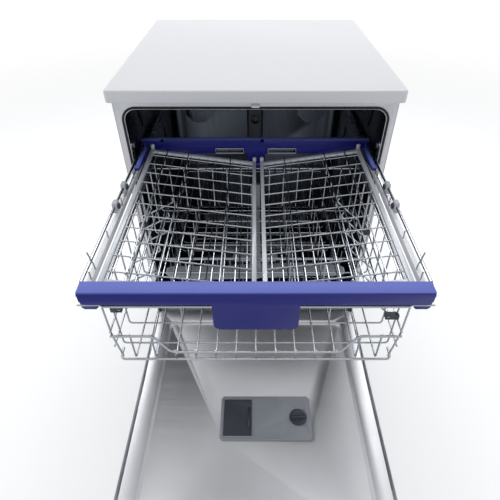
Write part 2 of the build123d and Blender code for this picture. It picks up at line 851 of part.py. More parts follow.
def hinge_arm():
    """The right hinge arm, drawn as it lies with the door open, with its pivot and spring tail."""
    low = hinge_z - arm_depth
    with BuildSketch() as outline:
        with BuildLine():
            Polyline((hinge_y - arm_length, low), (hinge_y - 6.0, low), (hinge_y + 9.0, hinge_z - 8.0),
                     (hinge_y + tail_reach + 7.0, hinge_z + tail_reach - 4.0),
                     (hinge_y + tail_reach - 4.0, hinge_z + tail_reach + 7.0),
                     (hinge_y - 9.0, hinge_z + 9.0), (hinge_y - arm_length, hinge_z - 8.0), close=True)
        make_face()
    arm = side_plate(outline.sketch, arm_inner, arm_outer)
    pivot = cross_disc(ear_inner - 1.0, arm_inner + 1.0, hinge_y, hinge_z, pivot_radius)
    pivot += cross_drum(arm_outer - 1.0, arm_outer + 1.0, hinge_y + tail_reach, hinge_z + tail_reach,
                        spring_pin)
    spacer = block(arm_outer - 0.5, half_width - door_sheet - weld_gap, hinge_y - 190.0, hinge_y - 60.0,
                   hinge_z - 22.0, hinge_z - 12.0)
    tail, anchor = spring_ends()
    along = (anchor - tail).normalized()
    notch = rod([tail + along * spring_pin, tail + along * tail_notch], 3 * spring_radius)
    return arm + pivot + spacer - notch


def door_spring():
    """The right balance spring, stretched between the hinge arm's tail and its anchor."""
    tail, anchor = spring_ends()
    along = (anchor - tail).normalized()
    clear = spring_pin + seat_gap
    coil = rod([tail + along * spring_hook, anchor - along * spring_hook], 2 * spring_radius)
    hooks = rod([tail + along * clear, anchor - along * clear], spring_radius)
    return coil + hooks


# Door, drawn shut

door_inner_half = hinge_notch_x
dispenser_x = (-85.0, 135.0)
dispenser_z = (430.0, 540.0)
dispenser_depth = 36.0
chamber_x = (-74.0, -12.0)
lid_travel = 64.0
cap_x = 104.0
cap_radius = 21.0
bezel = 4.0
bezel_lap = 6.4
lid_rest = bezel + 0.2
lid_sheet = 2.2
guide_sheet = 2.5
latch_half = 28.0
latch_height = 26.0
recess_floor = -door_face_gap - door_recess
panel_back = -door_thickness + 40.0
control_bottom = door_top - control_height
skin_back = -8.0
skin_round = 5.0
pan_depth = 30.0
pan_top = door_top - 7.0
pan_edge = 4.0
recess_round = 24.0
recess_taper = 20
tab_height = 40.0
panel_round = 6.0
grip_half = 118.0
grip_depth = 26.0
grip_wall = 2.4
grip_z = (door_top - 62.0, door_top - 14.0)


def door_outer_panel():
    """The painted outer panel with its folded edges."""
    front = -door_thickness
    skin = block(-half_width, half_width, front, skin_back, door_bottom, control_bottom - 1.5)
    skin = fillet(skin.edges().filter_by(Axis.Z).group_by(Axis.Y)[0], skin_round)
    inner = half_width - door_sheet
    skin -= block(-inner, inner, front + door_sheet, skin_back + 1, door_bottom + door_sheet, door_top)
    cut = block(-half_width - 1, half_width + 1, front + 14.0, skin_back + 1,
                door_bottom - 1, hinge_z - 12.0)
    return skin - cut


def door_inner_panel():
    """The pressed steel inner panel: a flat rim for the rollers round a deep recess."""
    low = hinge_z + 1.0
    high = pan_top
    half = door_inner_half - 1.0
    face = -door_face_gap
    pan = block(-half, half, -pan_depth, face, low, high)
    pan = chamfer(pan.edges().filter_by(Axis.Y), pan_edge)
    pan -= block(-half + door_sheet, half - door_sheet, -pan_depth - 1, face - door_sheet,
                 low + door_sheet, high - door_sheet)
    centre = (low + high) / 2
    recess = RectangleRounded(2 * (half - door_rim), high - low - 2 * door_rim, recess_round)
    recess_plane = Plane.XZ.offset(-face)
    pressing = extrude(recess_plane * (Pos(0, centre) * recess), amount=door_recess, taper=recess_taper)
    outer_recess = RectangleRounded(2 * (half - door_rim + door_sheet),
                                    high - low - 2 * door_rim + 2 * door_sheet, recess_round + door_sheet)
    backing = extrude(recess_plane * (Pos(0, centre) * outer_recess),
                      amount=door_recess + door_sheet, taper=recess_taper)
    pan = pan + backing - pressing
    pan -= block(dispenser_x[0] + 6, dispenser_x[1] - 6, -40.0, 0, dispenser_z[0] + 6, dispenser_z[1] - 6)
    pan -= block(-latch_half, latch_half, -40.0, 0, high - latch_height, high + 1)
    for z in (low + 260.0, control_bottom - 65.0):
        tab = block(half - 0.5, half_width - door_sheet - weld_gap, -pan_depth, 2.0 - pan_depth,
                    z, z + tab_height)
        pan = pan + tab + mirrored(tab)
    return pan


def control_panel():
    """The moulded top of the door, with its hand recess, button holes and display window."""
    front = -door_thickness
    shell = block(-half_width, half_width, front, panel_back, control_bottom, door_top)
    shell = fillet(shell.edges().filter_by(Axis.X).group_by(Axis.Y)[0], panel_round)
    inner = half_width - panel_wall
    shell -= block(-inner, inner, front + panel_wall, panel_back + 1,
                   control_bottom - 1, door_top - panel_wall)
    low, high = grip_z
    pocket = block(-grip_half, grip_half, front + 1, front + grip_depth, low, high)
    lining = block(-grip_half - grip_wall, grip_half + grip_wall, front + 1, front + grip_depth + grip_wall,
                   low - grip_wall, high + grip_wall)
    shell = shell + lining - pocket
    shell -= block(-grip_half, grip_half, front - 1, front + 3.5, low, high)
    for x in button_places:
        across = button_width / 2 + fit_gap
        tall = button_tall / 2 + fit_gap
        shell -= block(x - across, x + across, front - 1, front + panel_wall + 1,
                       button_z - tall, button_z + tall)
    across = window_half + fit_gap
    tall = window_height / 2 + fit_gap
    return shell - block(-across, across, front - 1, front + panel_wall + 1,
                         button_z - tall, button_z + tall)


button_z = control_bottom + 24.0
button_inset = 49.0
button_places = (button_inset - half_width, half_width - 189.0, half_width - 139.0,
                 half_width - button_inset)
window_half = 55.0
window_height = 24.0
collar = 2.5
collar_sheet = 2.0


def display_window():
    """The dark window over the display, with its flange behind the panel."""
    front = -door_thickness
    face = Pos(0, button_z) * Rectangle(2 * window_half, window_height)
    flange = Pos(0, button_z) * Rectangle(2 * window_half + 8, window_height + 8)
    behind = front + panel_wall + weld_gap
    return front_plate(face, front - 0.4, behind + 0.5) + front_plate(flange, behind, behind + 2.0)


def button(x):
    """A push button with the collar that keeps it in the panel."""
    front = -door_thickness
    across = button_width / 2
    tall = button_tall / 2
    cap = block(x - across, x + across, front - button_travel - 0.8, front + 8.0,
                button_z - tall, button_z + tall)
    cap = chamfer(cap.faces().sort_by(Axis.Y)[0].edges(), 0.8)
    behind = front + panel_wall + 0.25
    return cap + block(x - across - collar, x + across + collar, behind, behind + collar_sheet,
                       button_z - tall - collar, button_z + tall + collar)


def dispenser_body():
    """The detergent dispenser, with the open tablet chamber and the rinse-aid well."""
    floor = recess_floor + weld_gap
    low, high = dispenser_z
    left, right = dispenser_x
    body = block(left, right, floor, floor + bezel, low, high)
    body = chamfer(body.edges().filter_by(Axis.Y), 6.0)
    body += block(left + bezel_lap, right - bezel_lap, -dispenser_depth, floor + 1,
                  low + bezel_lap, high - bezel_lap)
    body -= block(*chamber_x, -dispenser_depth + 4.0, 0, low + 16.0, high - 16.0)
    for z in (low + 6.5, high - 9.0):
        body += block(chamber_x[0] - 4.0, chamber_x[1] + lid_travel + 8.0, floor + 3,
                      floor + bezel + guide_sheet, z, z + guide_sheet)
    well = deep_drum(cap_x, -dispenser_depth + 6.0, 0, (low + high) / 2, hole(cap_radius - 5.0))
    return body - well


def dispenser_lid():
    """The sliding lid over the tablet chamber."""
    floor = recess_floor + weld_gap + lid_rest
    low, high = dispenser_z
    lid = block(chamber_x[0] - 3.0, chamber_x[1] + 3.0, floor, floor + lid_sheet, low + 10.0, high - 10.0)
    rib = block(chamber_x[1] - 6.0, chamber_x[1] - 2.0, floor + 2, floor + 4.5, low + 30.0, high - 30.0)
    return lid + rib


def rinse_aid_cap():
    """The quarter-turn cap of the rinse-aid chamber."""
    floor = recess_floor + weld_gap + lid_rest
    z = sum(dispenser_z) / 2
    cap = deep_drum(cap_x, floor, floor + 3.0, z, cap_radius)
    cap += deep_disc(cap_x, floor - 10.0, floor + 1.0, z, cap_radius - 5.0 - running_gap)
    return cap + Pos(cap_x, floor + 4.2, z) * Box(2 * cap_radius - 10, 3.6, 6.0)


def door_latch():
    """The latch in the door's upper edge, with the slot that takes the striker."""
    body = block(-latch_half + fit_gap, latch_half - fit_gap, -striker_reach - 6.0,
                 -door_face_gap - fit_gap, pan_top - latch_height + 0.5, pan_top - seat_gap)
    slot = striker_rod
    return body - block(-striker_half - slot, striker_half + slot, -striker_reach - 3.0, 0,
                        striker_z - slot, striker_z + slot)


# Upper rack

wire_bend = 12.0
strip_inner = bar_half - 5.5
strip_height = 13.0
strip_wall = 1.6
slide_wall = 2.6
slide_window_length = 70.0
slide_window_height = 5.0
slide_window_inset = 50.0
lever_start = 204.0
lever_length = 128.0
lever_height = 22.0
lever_edge = 8.0
stud_place = 66.0
stud_radius = 8.0
middle_outer = opening_half - 0.5
bar_edge = 2.0
grip_round = 12.0
grip_lip = 15.0
grip_rib_half = 1.2
clip_seat_half = 13.0
clip_seat_inset = 17.0
ledge_thickness = 6.0
ledge_reach = 10.0
ledge_lap = 8.0
post_lap = 16.0


def rack_front_bar():
    """The front bar: a channel with rounded ends, its hanging grip and the clips for the wire rim."""
    sketch = Pos(0, (bar_top + bar_bottom) / 2) * Rectangle(2 * bar_half, bar_height)
    sketch = fillet(sketch.vertices().group_by(Axis.Y)[0], bar_end_round)
    sketch = chamfer(sketch.vertices().group_by(Axis.Y)[-1], 3.0)
    bar = front_plate(sketch, bar_front, bar_back)
    bar = chamfer(bar.edges().filter_by(Axis.X).group_by(Axis.Z)[-1], bar_edge)
    hollow = block(-bar_half + 2 * bar_end_round, bar_half - 2 * bar_end_round, bar_front + bar_wall,
                   bar_back - bar_wall, bar_bottom - 1, bar_top - bar_wall)
    bar -= hollow
    grip = Rectangle(grip_width, grip_drop - bar_height / 2)
    grip = fillet(grip.vertices().group_by(Axis.Y)[0], grip_round)
    grip_mid = bar_top - bar_height / 2 - (grip_drop - bar_height / 2) / 2
    grip_plate = front_plate(Pos(0, grip_mid) * grip, bar_front, bar_front + bar_wall)
    lip_half = grip_width / 2 - grip_round + 1.0
    lip = block(-lip_half, lip_half, bar_front + bar_wall - 0.5, bar_front + grip_lip,
                bar_top - grip_drop, bar_top - grip_drop + bar_wall)
    bar = bar + grip_plate + lip
    for x in (-grip_width / 4, 0, grip_width / 4):
        bar += block(x - grip_rib_half, x + grip_rib_half, bar_front + 1, bar_front + 6.0,
                     bar_top - grip_drop + 1, bar_top - 4)
    seat_x = bar_half - clip_seat_inset
    clip = block(seat_x - clip_seat_half, seat_x + clip_seat_half, bar_front + 2.0, bar_back - 2.0,
                 rim_z + rim_wire / 2 + weld_gap, bar_bottom + 3.0)
    clip = chamfer(clip.edges().filter_by(Axis.Y).group_by(Axis.Z)[0], 4.0)
    bar = bar + clip + mirrored(clip)
    for x in (tray_axis_x(-1), tray_axis_x(1)):
        bar -= deep_drum(x, bar_back - bar_wall - 4.0, bar_back + 1, tray_axis_z,
                         hole(tray_pin + running_gap))
    ledge_low = tray_rest_z() - ledge_thickness
    ledge_left = left_tray_inner_x - ledge_lap
    ledge_right = right_tray_inner_x + ledge_lap
    bar += block(ledge_left, ledge_right, bar_back - bar_wall, bar_back, ledge_low, bar_bottom + 2)
    return bar + block(ledge_left, ledge_right, bar_back - 1, bar_back + ledge_reach, ledge_low,
                       tray_rest_z() - seat_gap)


tray_axis_z = bar_top - tray_outer_drop
tray_fall = tray_inner_drop - tray_outer_drop
tray_front = bar_back + 1.5
tray_back = rear_bar_front - 1.5


def tray_axis_x(side):
    """Where a tray's outer bar lies, on the left for -1 and on the right for 1."""
    return side * (bar_half - tray_outer_inset)


def tray_run(side):
    """How far a tray reaches across, from its outer bar to its inner bar."""
    return abs(tray_axis_x(side) - (left_tray_inner_x if side < 0 else right_tray_inner_x))


def tray_slope(side):
    """The slope of a tray in degrees."""
    return degrees(atan2(tray_fall, tray_run(side)))


def tray_rest_z():
    """The underside of the trays' inner bars where they lie on their ledges."""
    slope = radians(tray_slope(1))
    return tray_axis_z - tray_fall - tray_bar_height / 2 * cos(slope) - tray_bar_width / 2 * sin(slope)


flange_drop = 16.0
flange_inset = 22.0
window_margin = 3.0
flange_windows = ((-96.0, -30.0), (32.0, 98.0))
notch_half = 3.0
notch_places = (-bar_half * 0.82, bar_half * 0.06)
socket_half = 9.0
socket_reach = 12.0


def rear_cutout(x0, x1):
    """A window in the rear bar's lower flange."""
    return block(x0, x1, rear_bar_front - 1, rear_bar_back + 1,
                 rear_bar_bottom - flange_drop + window_margin, rear_bar_bottom - window_margin)


def rack_rear_bar():
    """The rear bar: a lipped channel with the centre post that carries the trays' inner bars."""
    bar = block(-bar_half, bar_half, rear_bar_front, rear_bar_back, rear_bar_bottom, rear_bar_top)
    bar = chamfer(bar.edges().filter_by(Axis.X).group_by(Axis.Z)[-1], 2.5)
    bar -= block(-bar_half + 6.0, bar_half - 6.0, rear_bar_front + bar_wall, rear_bar_back - bar_wall,
                 rear_bar_bottom - 1, rear_bar_top - bar_wall)
    for x in notch_places:
        bar -= block(x - notch_half, x + notch_half, rear_bar_front - 1, rear_bar_front + 8.0,
                     rear_bar_top - 7.0, rear_bar_top + 1)
    flange_half = bar_half - flange_inset
    bar += block(-flange_half, flange_half, rear_bar_front, rear_bar_front + bar_wall,
                 rear_bar_bottom - flange_drop, rear_bar_bottom + 1)
    for x0, x1 in flange_windows:
        bar -= rear_cutout(x0, x1)
    for side in (-1, 1):
        x = tray_axis_x(side)
        bar += block(x - socket_half, x + socket_half, rear_bar_front, rear_bar_front + socket_reach,
                     tray_axis_z - socket_half, rear_bar_top - 6)
        bar -= deep_drum(x, rear_bar_front - 1, rear_bar_front + 7.0, tray_axis_z,
                         hole(tray_pin + running_gap))
    post_left = left_tray_inner_x - post_lap
    post_right = right_tray_inner_x + ledge_lap
    ledge_low = tray_rest_z() - ledge_thickness
    bar += block(post_left, post_right, rear_bar_front, rear_bar_front + ledge_reach, ledge_low,
                 rear_bar_bottom + 2)
    return bar + block(post_left + 6, post_right, rear_bar_front - ledge_reach, rear_bar_front + 1,
                       ledge_low, tray_rest_z() - seat_gap)


def rack_side_rail():
    """The right side strip of the rack, with the slide under it."""
    strip = block(strip_inner, bar_half, bar_back + weld_gap, rear_bar_front - weld_gap,
                  bar_top - strip_height, bar_top)
    strip = chamfer(strip.edges().filter_by(Axis.Y).group_by(Axis.Z)[-1], 1.2)
    strip -= block(strip_inner + strip_wall, bar_half - strip_wall, bar_back + 12.0, rear_bar_front - 12.0,
                   bar_top - strip_height - 1, bar_top - 2.0)
    slide_inner = strip_inner - slide_wall
    slide_low = rail_bottom + 2 * rail_sheet + 2 * slide_gap
    slide_high = rail_top - 2 * rail_sheet - 2 * slide_gap
    slide_start = bar_back + 9.0
    slide_end = rear_bar_front - 16.0
    slide = block(slide_inner + 1.4, middle_outer - rail_sheet - slide_gap, slide_start, slide_end,
                  slide_low, slide_high)
    web = block(slide_inner, strip_inner + 0.2, slide_start, slide_end, slide_low, bar_top - 3.0)
    window = Box(8.0, slide_window_length, slide_window_height)
    for y in spread(slide_start + slide_window_inset, slide_end - slide_window_inset, 4):
        web -= Pos(slide_inner, y, slide_high + 4.0) * window
    return strip + slide + web


def height_adjuster():
    """The right lever of the height adjuster, with its roller stud, on the side strip."""
    start = bar_front + lever_start
    low = rail_top + 1.2
    outline = Polygon((0, 0), (lever_length, 0), (lever_length, lever_edge), (86.0, lever_height),
                      (20.0, lever_height), (0, lever_edge), align=(Align.MIN, Align.MIN))
    plate = side_plate(Pos(start, low) * outline, bar_half + weld_gap, bar_half + 2.2)
    return plate + cross_drum(bar_half + 1.0, bar_half + 3.0, start + stud_place, low + 12.0, stud_radius)


def cross_frames(side_x, levels, y, floor):
    """One wire bent down the left side, across the floor and up the right."""
    return rod([(-side_x, y, levels), (-side_x, y, floor), (side_x, y, floor), (side_x, y, levels)],
               wire, wire_bend, 4)


def basket_loop(half, y0, y1, z, diameter, corner):
    """A flat wire loop round a basket, in two bent halves that meet at the front and back."""
    halves = []
    for side in (-1, 1):
        halves.append(rod([(0, y0, z), (side * half, y0, z), (side * half, y1, z), (0, y1, z)],
                          diameter, corner))
    return halves


basket_rows = spread(basket_front + 34.0, basket_back - 16.0, 10)
clip_rows = (basket_rows[0], basket_rows[5])
clip_half = 5.0
tine_height = 62.0
tine_lean = 5.0
sill_rise = 18.0
side_rise = 30.0


def upper_basket():
    """The welded wire basket that hangs under the trays."""
    out = (rim_wire + wire) / 2 + weld_gap
    rim_x = basket_half + out
    rear_rim = rim_z - rear_rim_drop
    wires = []
    for side in (-1, 1):
        wires.append(rod([(0, basket_front - out, rim_z), (side * rim_x, basket_front - out, rim_z),
                          (side * rim_x, basket_back - 46.0, rim_z),
                          (side * rim_x, basket_back + out, rear_rim),
                          (0, basket_back + out, rear_rim)], rim_wire, 14.0))
    for y in basket_rows:
        wires.append(cross_frames(basket_half, rim_z + 2.0, y, basket_floor))
    over = wire + weld_gap
    for x in spread(-6 * wire_pitch, 6 * wire_pitch, 13):
        front_z = bar_top - dip_drop if abs(x) < dip_half_width else bar_top - side_wire_drop
        wires.append(rod([(x, basket_front, front_z), (x, basket_front, basket_floor + over),
                          (x, basket_back, basket_floor + over), (x, basket_back, rear_rim + 2.0)],
                         wire, wire_bend, 4))
    side_z = bar_top - side_wire_drop
    dip_z = bar_top - dip_drop
    run_end = dip_half_width + dip_run
    front_y = basket_front - over
    wires.append(rod([(-basket_half - 1, front_y, side_z), (-run_end, front_y, side_z),
                      (-dip_half_width, front_y, dip_z), (dip_half_width, front_y, dip_z),
                      (run_end, front_y, side_z), (basket_half + 1, front_y, side_z)], wire, 6.0))
    sill_half = basket_half - 16
    sill_z = basket_floor + sill_rise
    wires.append(rod([(-sill_half, front_y, sill_z), (sill_half, front_y, sill_z)], wire))
    for side in (-1, 1):
        x = side * (basket_half + over)
        for z in (side_z, basket_floor + side_rise):
            wires.append(rod([(x, basket_front + 4.0, z), (x, basket_back, z)], wire))
        wires.append(rod([(side * (basket_half - 0.8), basket_front, rim_z - 2.0),
                          (side * (basket_half - 1.0), basket_front, side_z),
                          (side * (basket_half - 9.0), basket_front, basket_floor + 8.0)], wire, 8.0))
    tine_foot = basket_floor + over + wire / 2 + 3 * weld_gap
    for x in (-4 * wire_pitch, -2 * wire_pitch, 2 * wire_pitch, 4 * wire_pitch):
        for y in basket_rows[1:-1]:
            foot_y = y + wire + 1.0
            tip = (x, foot_y + tine_lean, tine_foot + tine_height)
            wires.append(rod([(x, foot_y, tine_foot), tip], thin_wire))
    return wires


feed_half = 12.0
feed_y = hub_from_front - rack_travel
upper_arm_z = basket_floor - 34.0
feed_height = 14.0
feed_hub = 15.0
hub_length = 12.0


def feed_pipe():
    """The pipe from the docking nozzle at the back, under the basket, to the spray arm's hub."""
    top = basket_floor - wire / 2 - seat_gap
    low = top - feed_height
    run = block(-feed_half, feed_half, feed_y - feed_half, basket_back + 18.0, low, top)
    run = chamfer(run.edges().filter_by(Axis.Y), 3.0)
    riser = block(-feed_half, feed_half, basket_back + 6.0, basket_back + 18.0, low, port_z + 16.0)
    nozzle_tip = tub_rear - duct_depth - port_lip - seat_gap - rack_travel
    nozzle = deep_drum(0, basket_back + 16.0, nozzle_tip, port_z, port_bore - 1.0)
    hub = upright_drum(0, feed_y, upper_arm_z + hub_length + seat_gap, low + 1, feed_hub)
    pin = upright_drum(0, feed_y, upper_arm_z - 6.0, top - 12.0, arm_pin)
    pin += upright_drum(0, feed_y, upper_arm_z - 6.0, upper_arm_z - 2.0 - seat_gap, arm_pin + 5.0)
    pipe = run + riser + nozzle + hub + pin
    return pipe - deep_drum(0, basket_back + 12.0, nozzle_tip + 1, port_z, port_bore - 4.0)


def spray_arm(reach, thickness):
    """A two-bladed spray arm round its hub at the origin, with its row of jets."""
    with BuildSketch() as outline:
        with BuildLine():
            Polyline((0, 21.0), (reach * 0.55, 26.0), (reach - 10.0, 17.0), (reach, 9.0), (reach, -6.0),
                     (reach - 12.0, -13.0), (reach * 0.4, -14.0), (0, -21.0), close=True)
        make_face()
        with BuildLine():
            Polyline((0, -21.0), (-reach * 0.55, -26.0), (-reach + 10.0, -17.0), (-reach, -9.0),
                     (-reach, 6.0), (-reach + 12.0, 13.0), (-reach * 0.4, 14.0), (0, 21.0), close=True)
        make_face()
    arm = extrude(outline.sketch, amount=thickness)
    arm = chamfer(arm.faces().sort_by(Axis.Z)[-1].edges(), 3.0)
    arm += upright_drum(0, 0, -2.0, thickness + 3.0, 22.0)
    for share in (0.4, 0.65, 0.9):
        arm += Pos(reach * share, 4.0, thickness) * Box(9.0, 4.0, 3.0)
        arm += Pos(-reach * share, -4.0, thickness) * Box(9.0, 4.0, 3.0)
    return arm - upright_disc(0, 0, -3.0, thickness + 4.0, arm_pin + running_gap)


frame_strip = 10.0
comb_places = (0.16, 0.36, 0.76)


def tray(side):
    """A cutlery tray, drawn flat with its outer bar on the y axis and then tipped to its slope."""
    width = hypot(tray_run(side), tray_fall)
    half_bar = tray_bar_width / 2
    lie = tray_bar_height / 2
    pieces = []
    for x in (0, width):
        pieces.append(block(x - half_bar, x + half_bar, tray_front, tray_back, -lie, lie))
    pin_reach = 4.5
    outer = pieces[0]
    outer += deep_disc(0, tray_front - pin_reach, tray_front + 1, 0, tray_pin)
    outer += deep_drum(0, tray_back - 1, tray_back + pin_reach, 0, tray_pin)
    pieces[0] = outer
    start = half_bar + weld_gap
    for y in (tray_front + 6.0, tray_back - frame_strip - 6.0):
        pieces.append(block(start, width - start, y, y + frame_strip, -lie, lie - 2))
    low = -lie + mesh_wire
    mesh_front = tray_front + frame_strip + 6.0 + weld_gap
    mesh_back = tray_back - frame_strip - 6.0 - weld_gap
    for x in spread(start + 9.0, width - start - 9.0, 12):
        pieces.append(rod([(x, mesh_front, low), (x, mesh_back, low)], thin_wire))
    cross_z = low + (thin_wire + mesh_wire) / 2 + weld_gap
    cross_y = spread(mesh_front + 18.0, mesh_back - 18.0, 11)
    for y in cross_y:
        pieces.append(rod([(start, y, cross_z), (width - start, y, cross_z)], mesh_wire))
    comb_foot = cross_z + mesh_wire / 2 + weld_gap
    ridge = comb_foot + comb_height
    for x in [width * place for place in comb_places]:
        pieces.append(rod([(x, mesh_front + 4, ridge), (x, mesh_back - 4, ridge)], mesh_wire))
        for y in cross_y:
            pieces.append(rod([(x, y, comb_foot), (x, y, ridge - mesh_wire / 2 - weld_gap)], thin_wire))
    return [Pos(tray_axis_x(side), 0, tray_axis_z) * tipped(piece, side) for piece in pieces]


def tipped(piece, side):
    """A piece of a flat tray, tipped about the outer bar, or its twin for the right side."""
    piece = Rot(0, tray_slope(side), 0) * piece
    return piece if side < 0 else mirrored(piece)


def cup_shelf(side, inset, drop, shelf_reach, angle):
    """A folding cup shelf: a pivot rod with bent arms and an outer rod."""
    length_from = basket_front + 30.0
    length_to = basket_back - 150.0
    lift = radians(angle)
    pivot_x = basket_half - inset
    pivot_z = bar_top - drop

    def at(reach, y, up=0.0):
        x = pivot_x - reach * cos(lift) + up * sin(lift)
        return (side * x, y, pivot_z + reach * sin(lift) + up * cos(lift))

    pieces = [deep_disc(side * pivot_x, length_from, length_to, pivot_z, rim_wire / 2)]
    gap = rim_wire / 2 + weld_gap
    for y in spread(length_from + 12.0, length_to - 12.0, 6):
        pieces.append(rod([at(gap, y), at(shelf_reach, y), at(shelf_reach + 4.0, y, shelf_lip)], wire, 4.0))
    for reach in (shelf_reach * 0.4, shelf_reach * 0.8):
        up = wire + weld_gap
        pieces.append(rod([at(reach, length_from + 4, up), at(reach, length_to - 4, up)], wire))
    return pieces


def shelf_clip(side, inset, drop, y):
    """A clip that holds a cup shelf's pivot rod to one of the basket's side wires."""
    pivot_x = basket_half - inset
    pivot_z = bar_top - drop
    grip_half = wire / 2 + weld_gap
    clip = block(pivot_x - clip_half, basket_half + wire, y - clip_half, y + clip_half,
                 pivot_z - clip_half, pivot_z + clip_half)
    clip -= block(basket_half - grip_half, basket_half + grip_half, y - grip_half, y + grip_half,
                  pivot_z - clip_half - 1, pivot_z + clip_half + 1)
    clip -= deep_drum(pivot_x, y - clip_half - 1, y + clip_half + 1, pivot_z,
                      hole(rim_wire / 2 + running_gap))
    return clip if side > 0 else mirrored(clip)


# Lower basket

side_wire_rise = 70.0
plate_tine_height = 88.0
plate_tine_lean = 7.0
handle_half = 62.0
handle_depth = 20.0
handle_height = 13.0
carrier_wall = 5.0
carrier_half = 14.0
bracket_half = 6.0


def lower_basket():
    """The lower wire basket with its handle bow, fixed tines and roller studs."""
    out = (rim_wire + wire) / 2 + weld_gap
    over = wire + weld_gap
    wires = basket_loop(lower_half + out, lower_front - out, lower_back + out, lower_rim, rim_wire, 16.0)
    cross_y = spread(lower_front + 30.0, lower_back - 14.0, 11)
    for y in cross_y:
        wires.append(cross_frames(lower_half, lower_rim + 2.0, y, lower_floor))
    for x in spread(-6 * wire_pitch, 6 * wire_pitch, 13):
        wires.append(rod([(x, lower_front, lower_rim + 2.0), (x, lower_front, lower_floor + over),
                          (x, lower_back, lower_floor + over), (x, lower_back, lower_rim + lower_rear_rise)],
                         wire, wire_bend, 4))
    wires.append(rod([(-lower_half + 20, lower_back + over, lower_rim + lower_rear_rise - 4),
                      (lower_half - 20, lower_back + over, lower_rim + lower_rear_rise - 4)], wire))
    for side in (-1, 1):
        x = side * (lower_half + over)
        z = lower_floor + side_wire_rise
        wires.append(rod([(x, lower_front + 4, z), (x, lower_back, z)], wire))
    foot = lower_floor + over + wire / 2 + 3 * weld_gap
    for x in (wire_pitch, 3 * wire_pitch, 5 * wire_pitch):
        for y in cross_y[1:-1:2]:
            foot_y = y + wire + 1.0
            tip = (x, foot_y + plate_tine_lean, foot + plate_tine_height)
            wires.append(rod([(x, foot_y, foot), tip], thin_wire))
    handle_low = lower_rim + rim_wire / 2 + weld_gap
    handle_back = lower_front + 4.0
    handle = block(-handle_half, handle_half, handle_back - handle_depth, handle_back, handle_low,
                   handle_low + handle_height)
    wires.append(chamfer(handle.edges().filter_by(Axis.Z), 6.0))
    for y in roller_places:
        for side in (-1, 1):
            carrier = block(carrier_x, carrier_x + carrier_wall, y - carrier_half, y + carrier_half,
                            axle_z - carrier_half / 2, lower_floor + side_wire_rise + 2.0)
            carrier += cross_drum(carrier_x + 4.0, wheel_x + roller_width + 2.4, y, axle_z, axle_radius)
            head = axle_radius + 1.5
            carrier += block(wheel_x + roller_width + seat_gap, wheel_x + roller_width + 2.4,
                             y - head, y + head, axle_z - head, axle_z + head)
            wires.append(carrier if side > 0 else mirrored(carrier))
    for x in folding_span:
        bracket = block(x - bracket_half / 2, x + bracket_half / 2, folding_y - bracket_half,
                        folding_y + bracket_half, foot, folding_z + bracket_half)
        wires.append(bracket - cross_drum(x - 4, x + 4, folding_y, folding_z, hole(wire / 2 + running_gap)))
    return wires


roller_places = spread(lower_front + 44.0, lower_back - 44.0, 4)
folding_y = lower_front + 250.0
folding_z = lower_floor + 14.0
folding_span = (-6 * wire_pitch, -wire_pitch)
carrier_x = lower_half + wire + wire / 2 + 2 * weld_gap
wheel_x = carrier_x + carrier_wall + seat_gap


def roller_pair(y):
    """The two rollers on the basket's left and right at one place along it."""
    inner = wheel_x
    wheel = cross_drum(inner, inner + roller_width, y, axle_z, roller_radius - seat_gap)
    wheel -= cross_drum(inner - 1, inner + roller_width + 1, y, axle_z, hole(axle_radius + running_gap))
    return [wheel, mirrored(wheel)]


def folding_tines():
    """The row of plate tines that folds down on its pivot rod."""
    left, right = folding_span
    row = [cross_disc(left - 8.0, right + 8.0, folding_y, folding_z, wire / 2)]
    start = folding_z + wire / 2 + weld_gap
    for x in spread(left + 14.0, right - 14.0, 9):
        row.append(rod([(x, folding_y, start), (x, folding_y, start + folding_tine_length)], thin_wire))
    return row


# Rails

fixed_rail_start = 14.0
fixed_rail_reach = 11.0
middle_rail_reach = 8.0
guide_radius = 7.0
guide_rise = 20.0


def fixed_rail():
    """The right channel on the tub wall, open towards the rack."""
    start, end = fixed_rail_start, tub_rear - 40.0
    behind_bar = rack_closed_front + bar_depth + 2.0
    outer = tub_half - weld_gap
    inner = outer - fixed_rail_reach
    web = block(outer - rail_sheet, outer, start, end, rail_bottom, rail_top)
    lips = [block(inner, outer, behind_bar, end, z, z + rail_sheet)
            for z in (rail_bottom, rail_top - rail_sheet)]
    stop = block(inner, outer, end - 3.0, end, rail_bottom, rail_top)
    guide_z = bar_top + guide_rise
    bracket = block(outer - rail_sheet, outer, start, start + 20.0, rail_bottom,
                    guide_z + guide_radius + 1.0)
    roller = cross_disc(outer - 7.0, outer - 0.5, start + 10.0, guide_z, guide_radius)
    return web + lips[0] + lips[1] + stop + bracket + roller


def middle_rail():
    """The right telescopic member that runs half as far as the rack."""
    shut_start = bar_depth + rack_closed_front + 5.0
    start = shut_start - rack_travel / 2
    end = start + middle_rail_length
    outer = middle_outer
    low = rail_bottom + rail_sheet + slide_gap
    high = rail_top - rail_sheet - slide_gap
    web = block(outer - rail_sheet, outer, start, end, low, high)
    lips = [block(outer - middle_rail_reach, outer, start, end, z, z + rail_sheet)
            for z in (low, high - rail_sheet)]
    return web + lips[0] + lips[1]


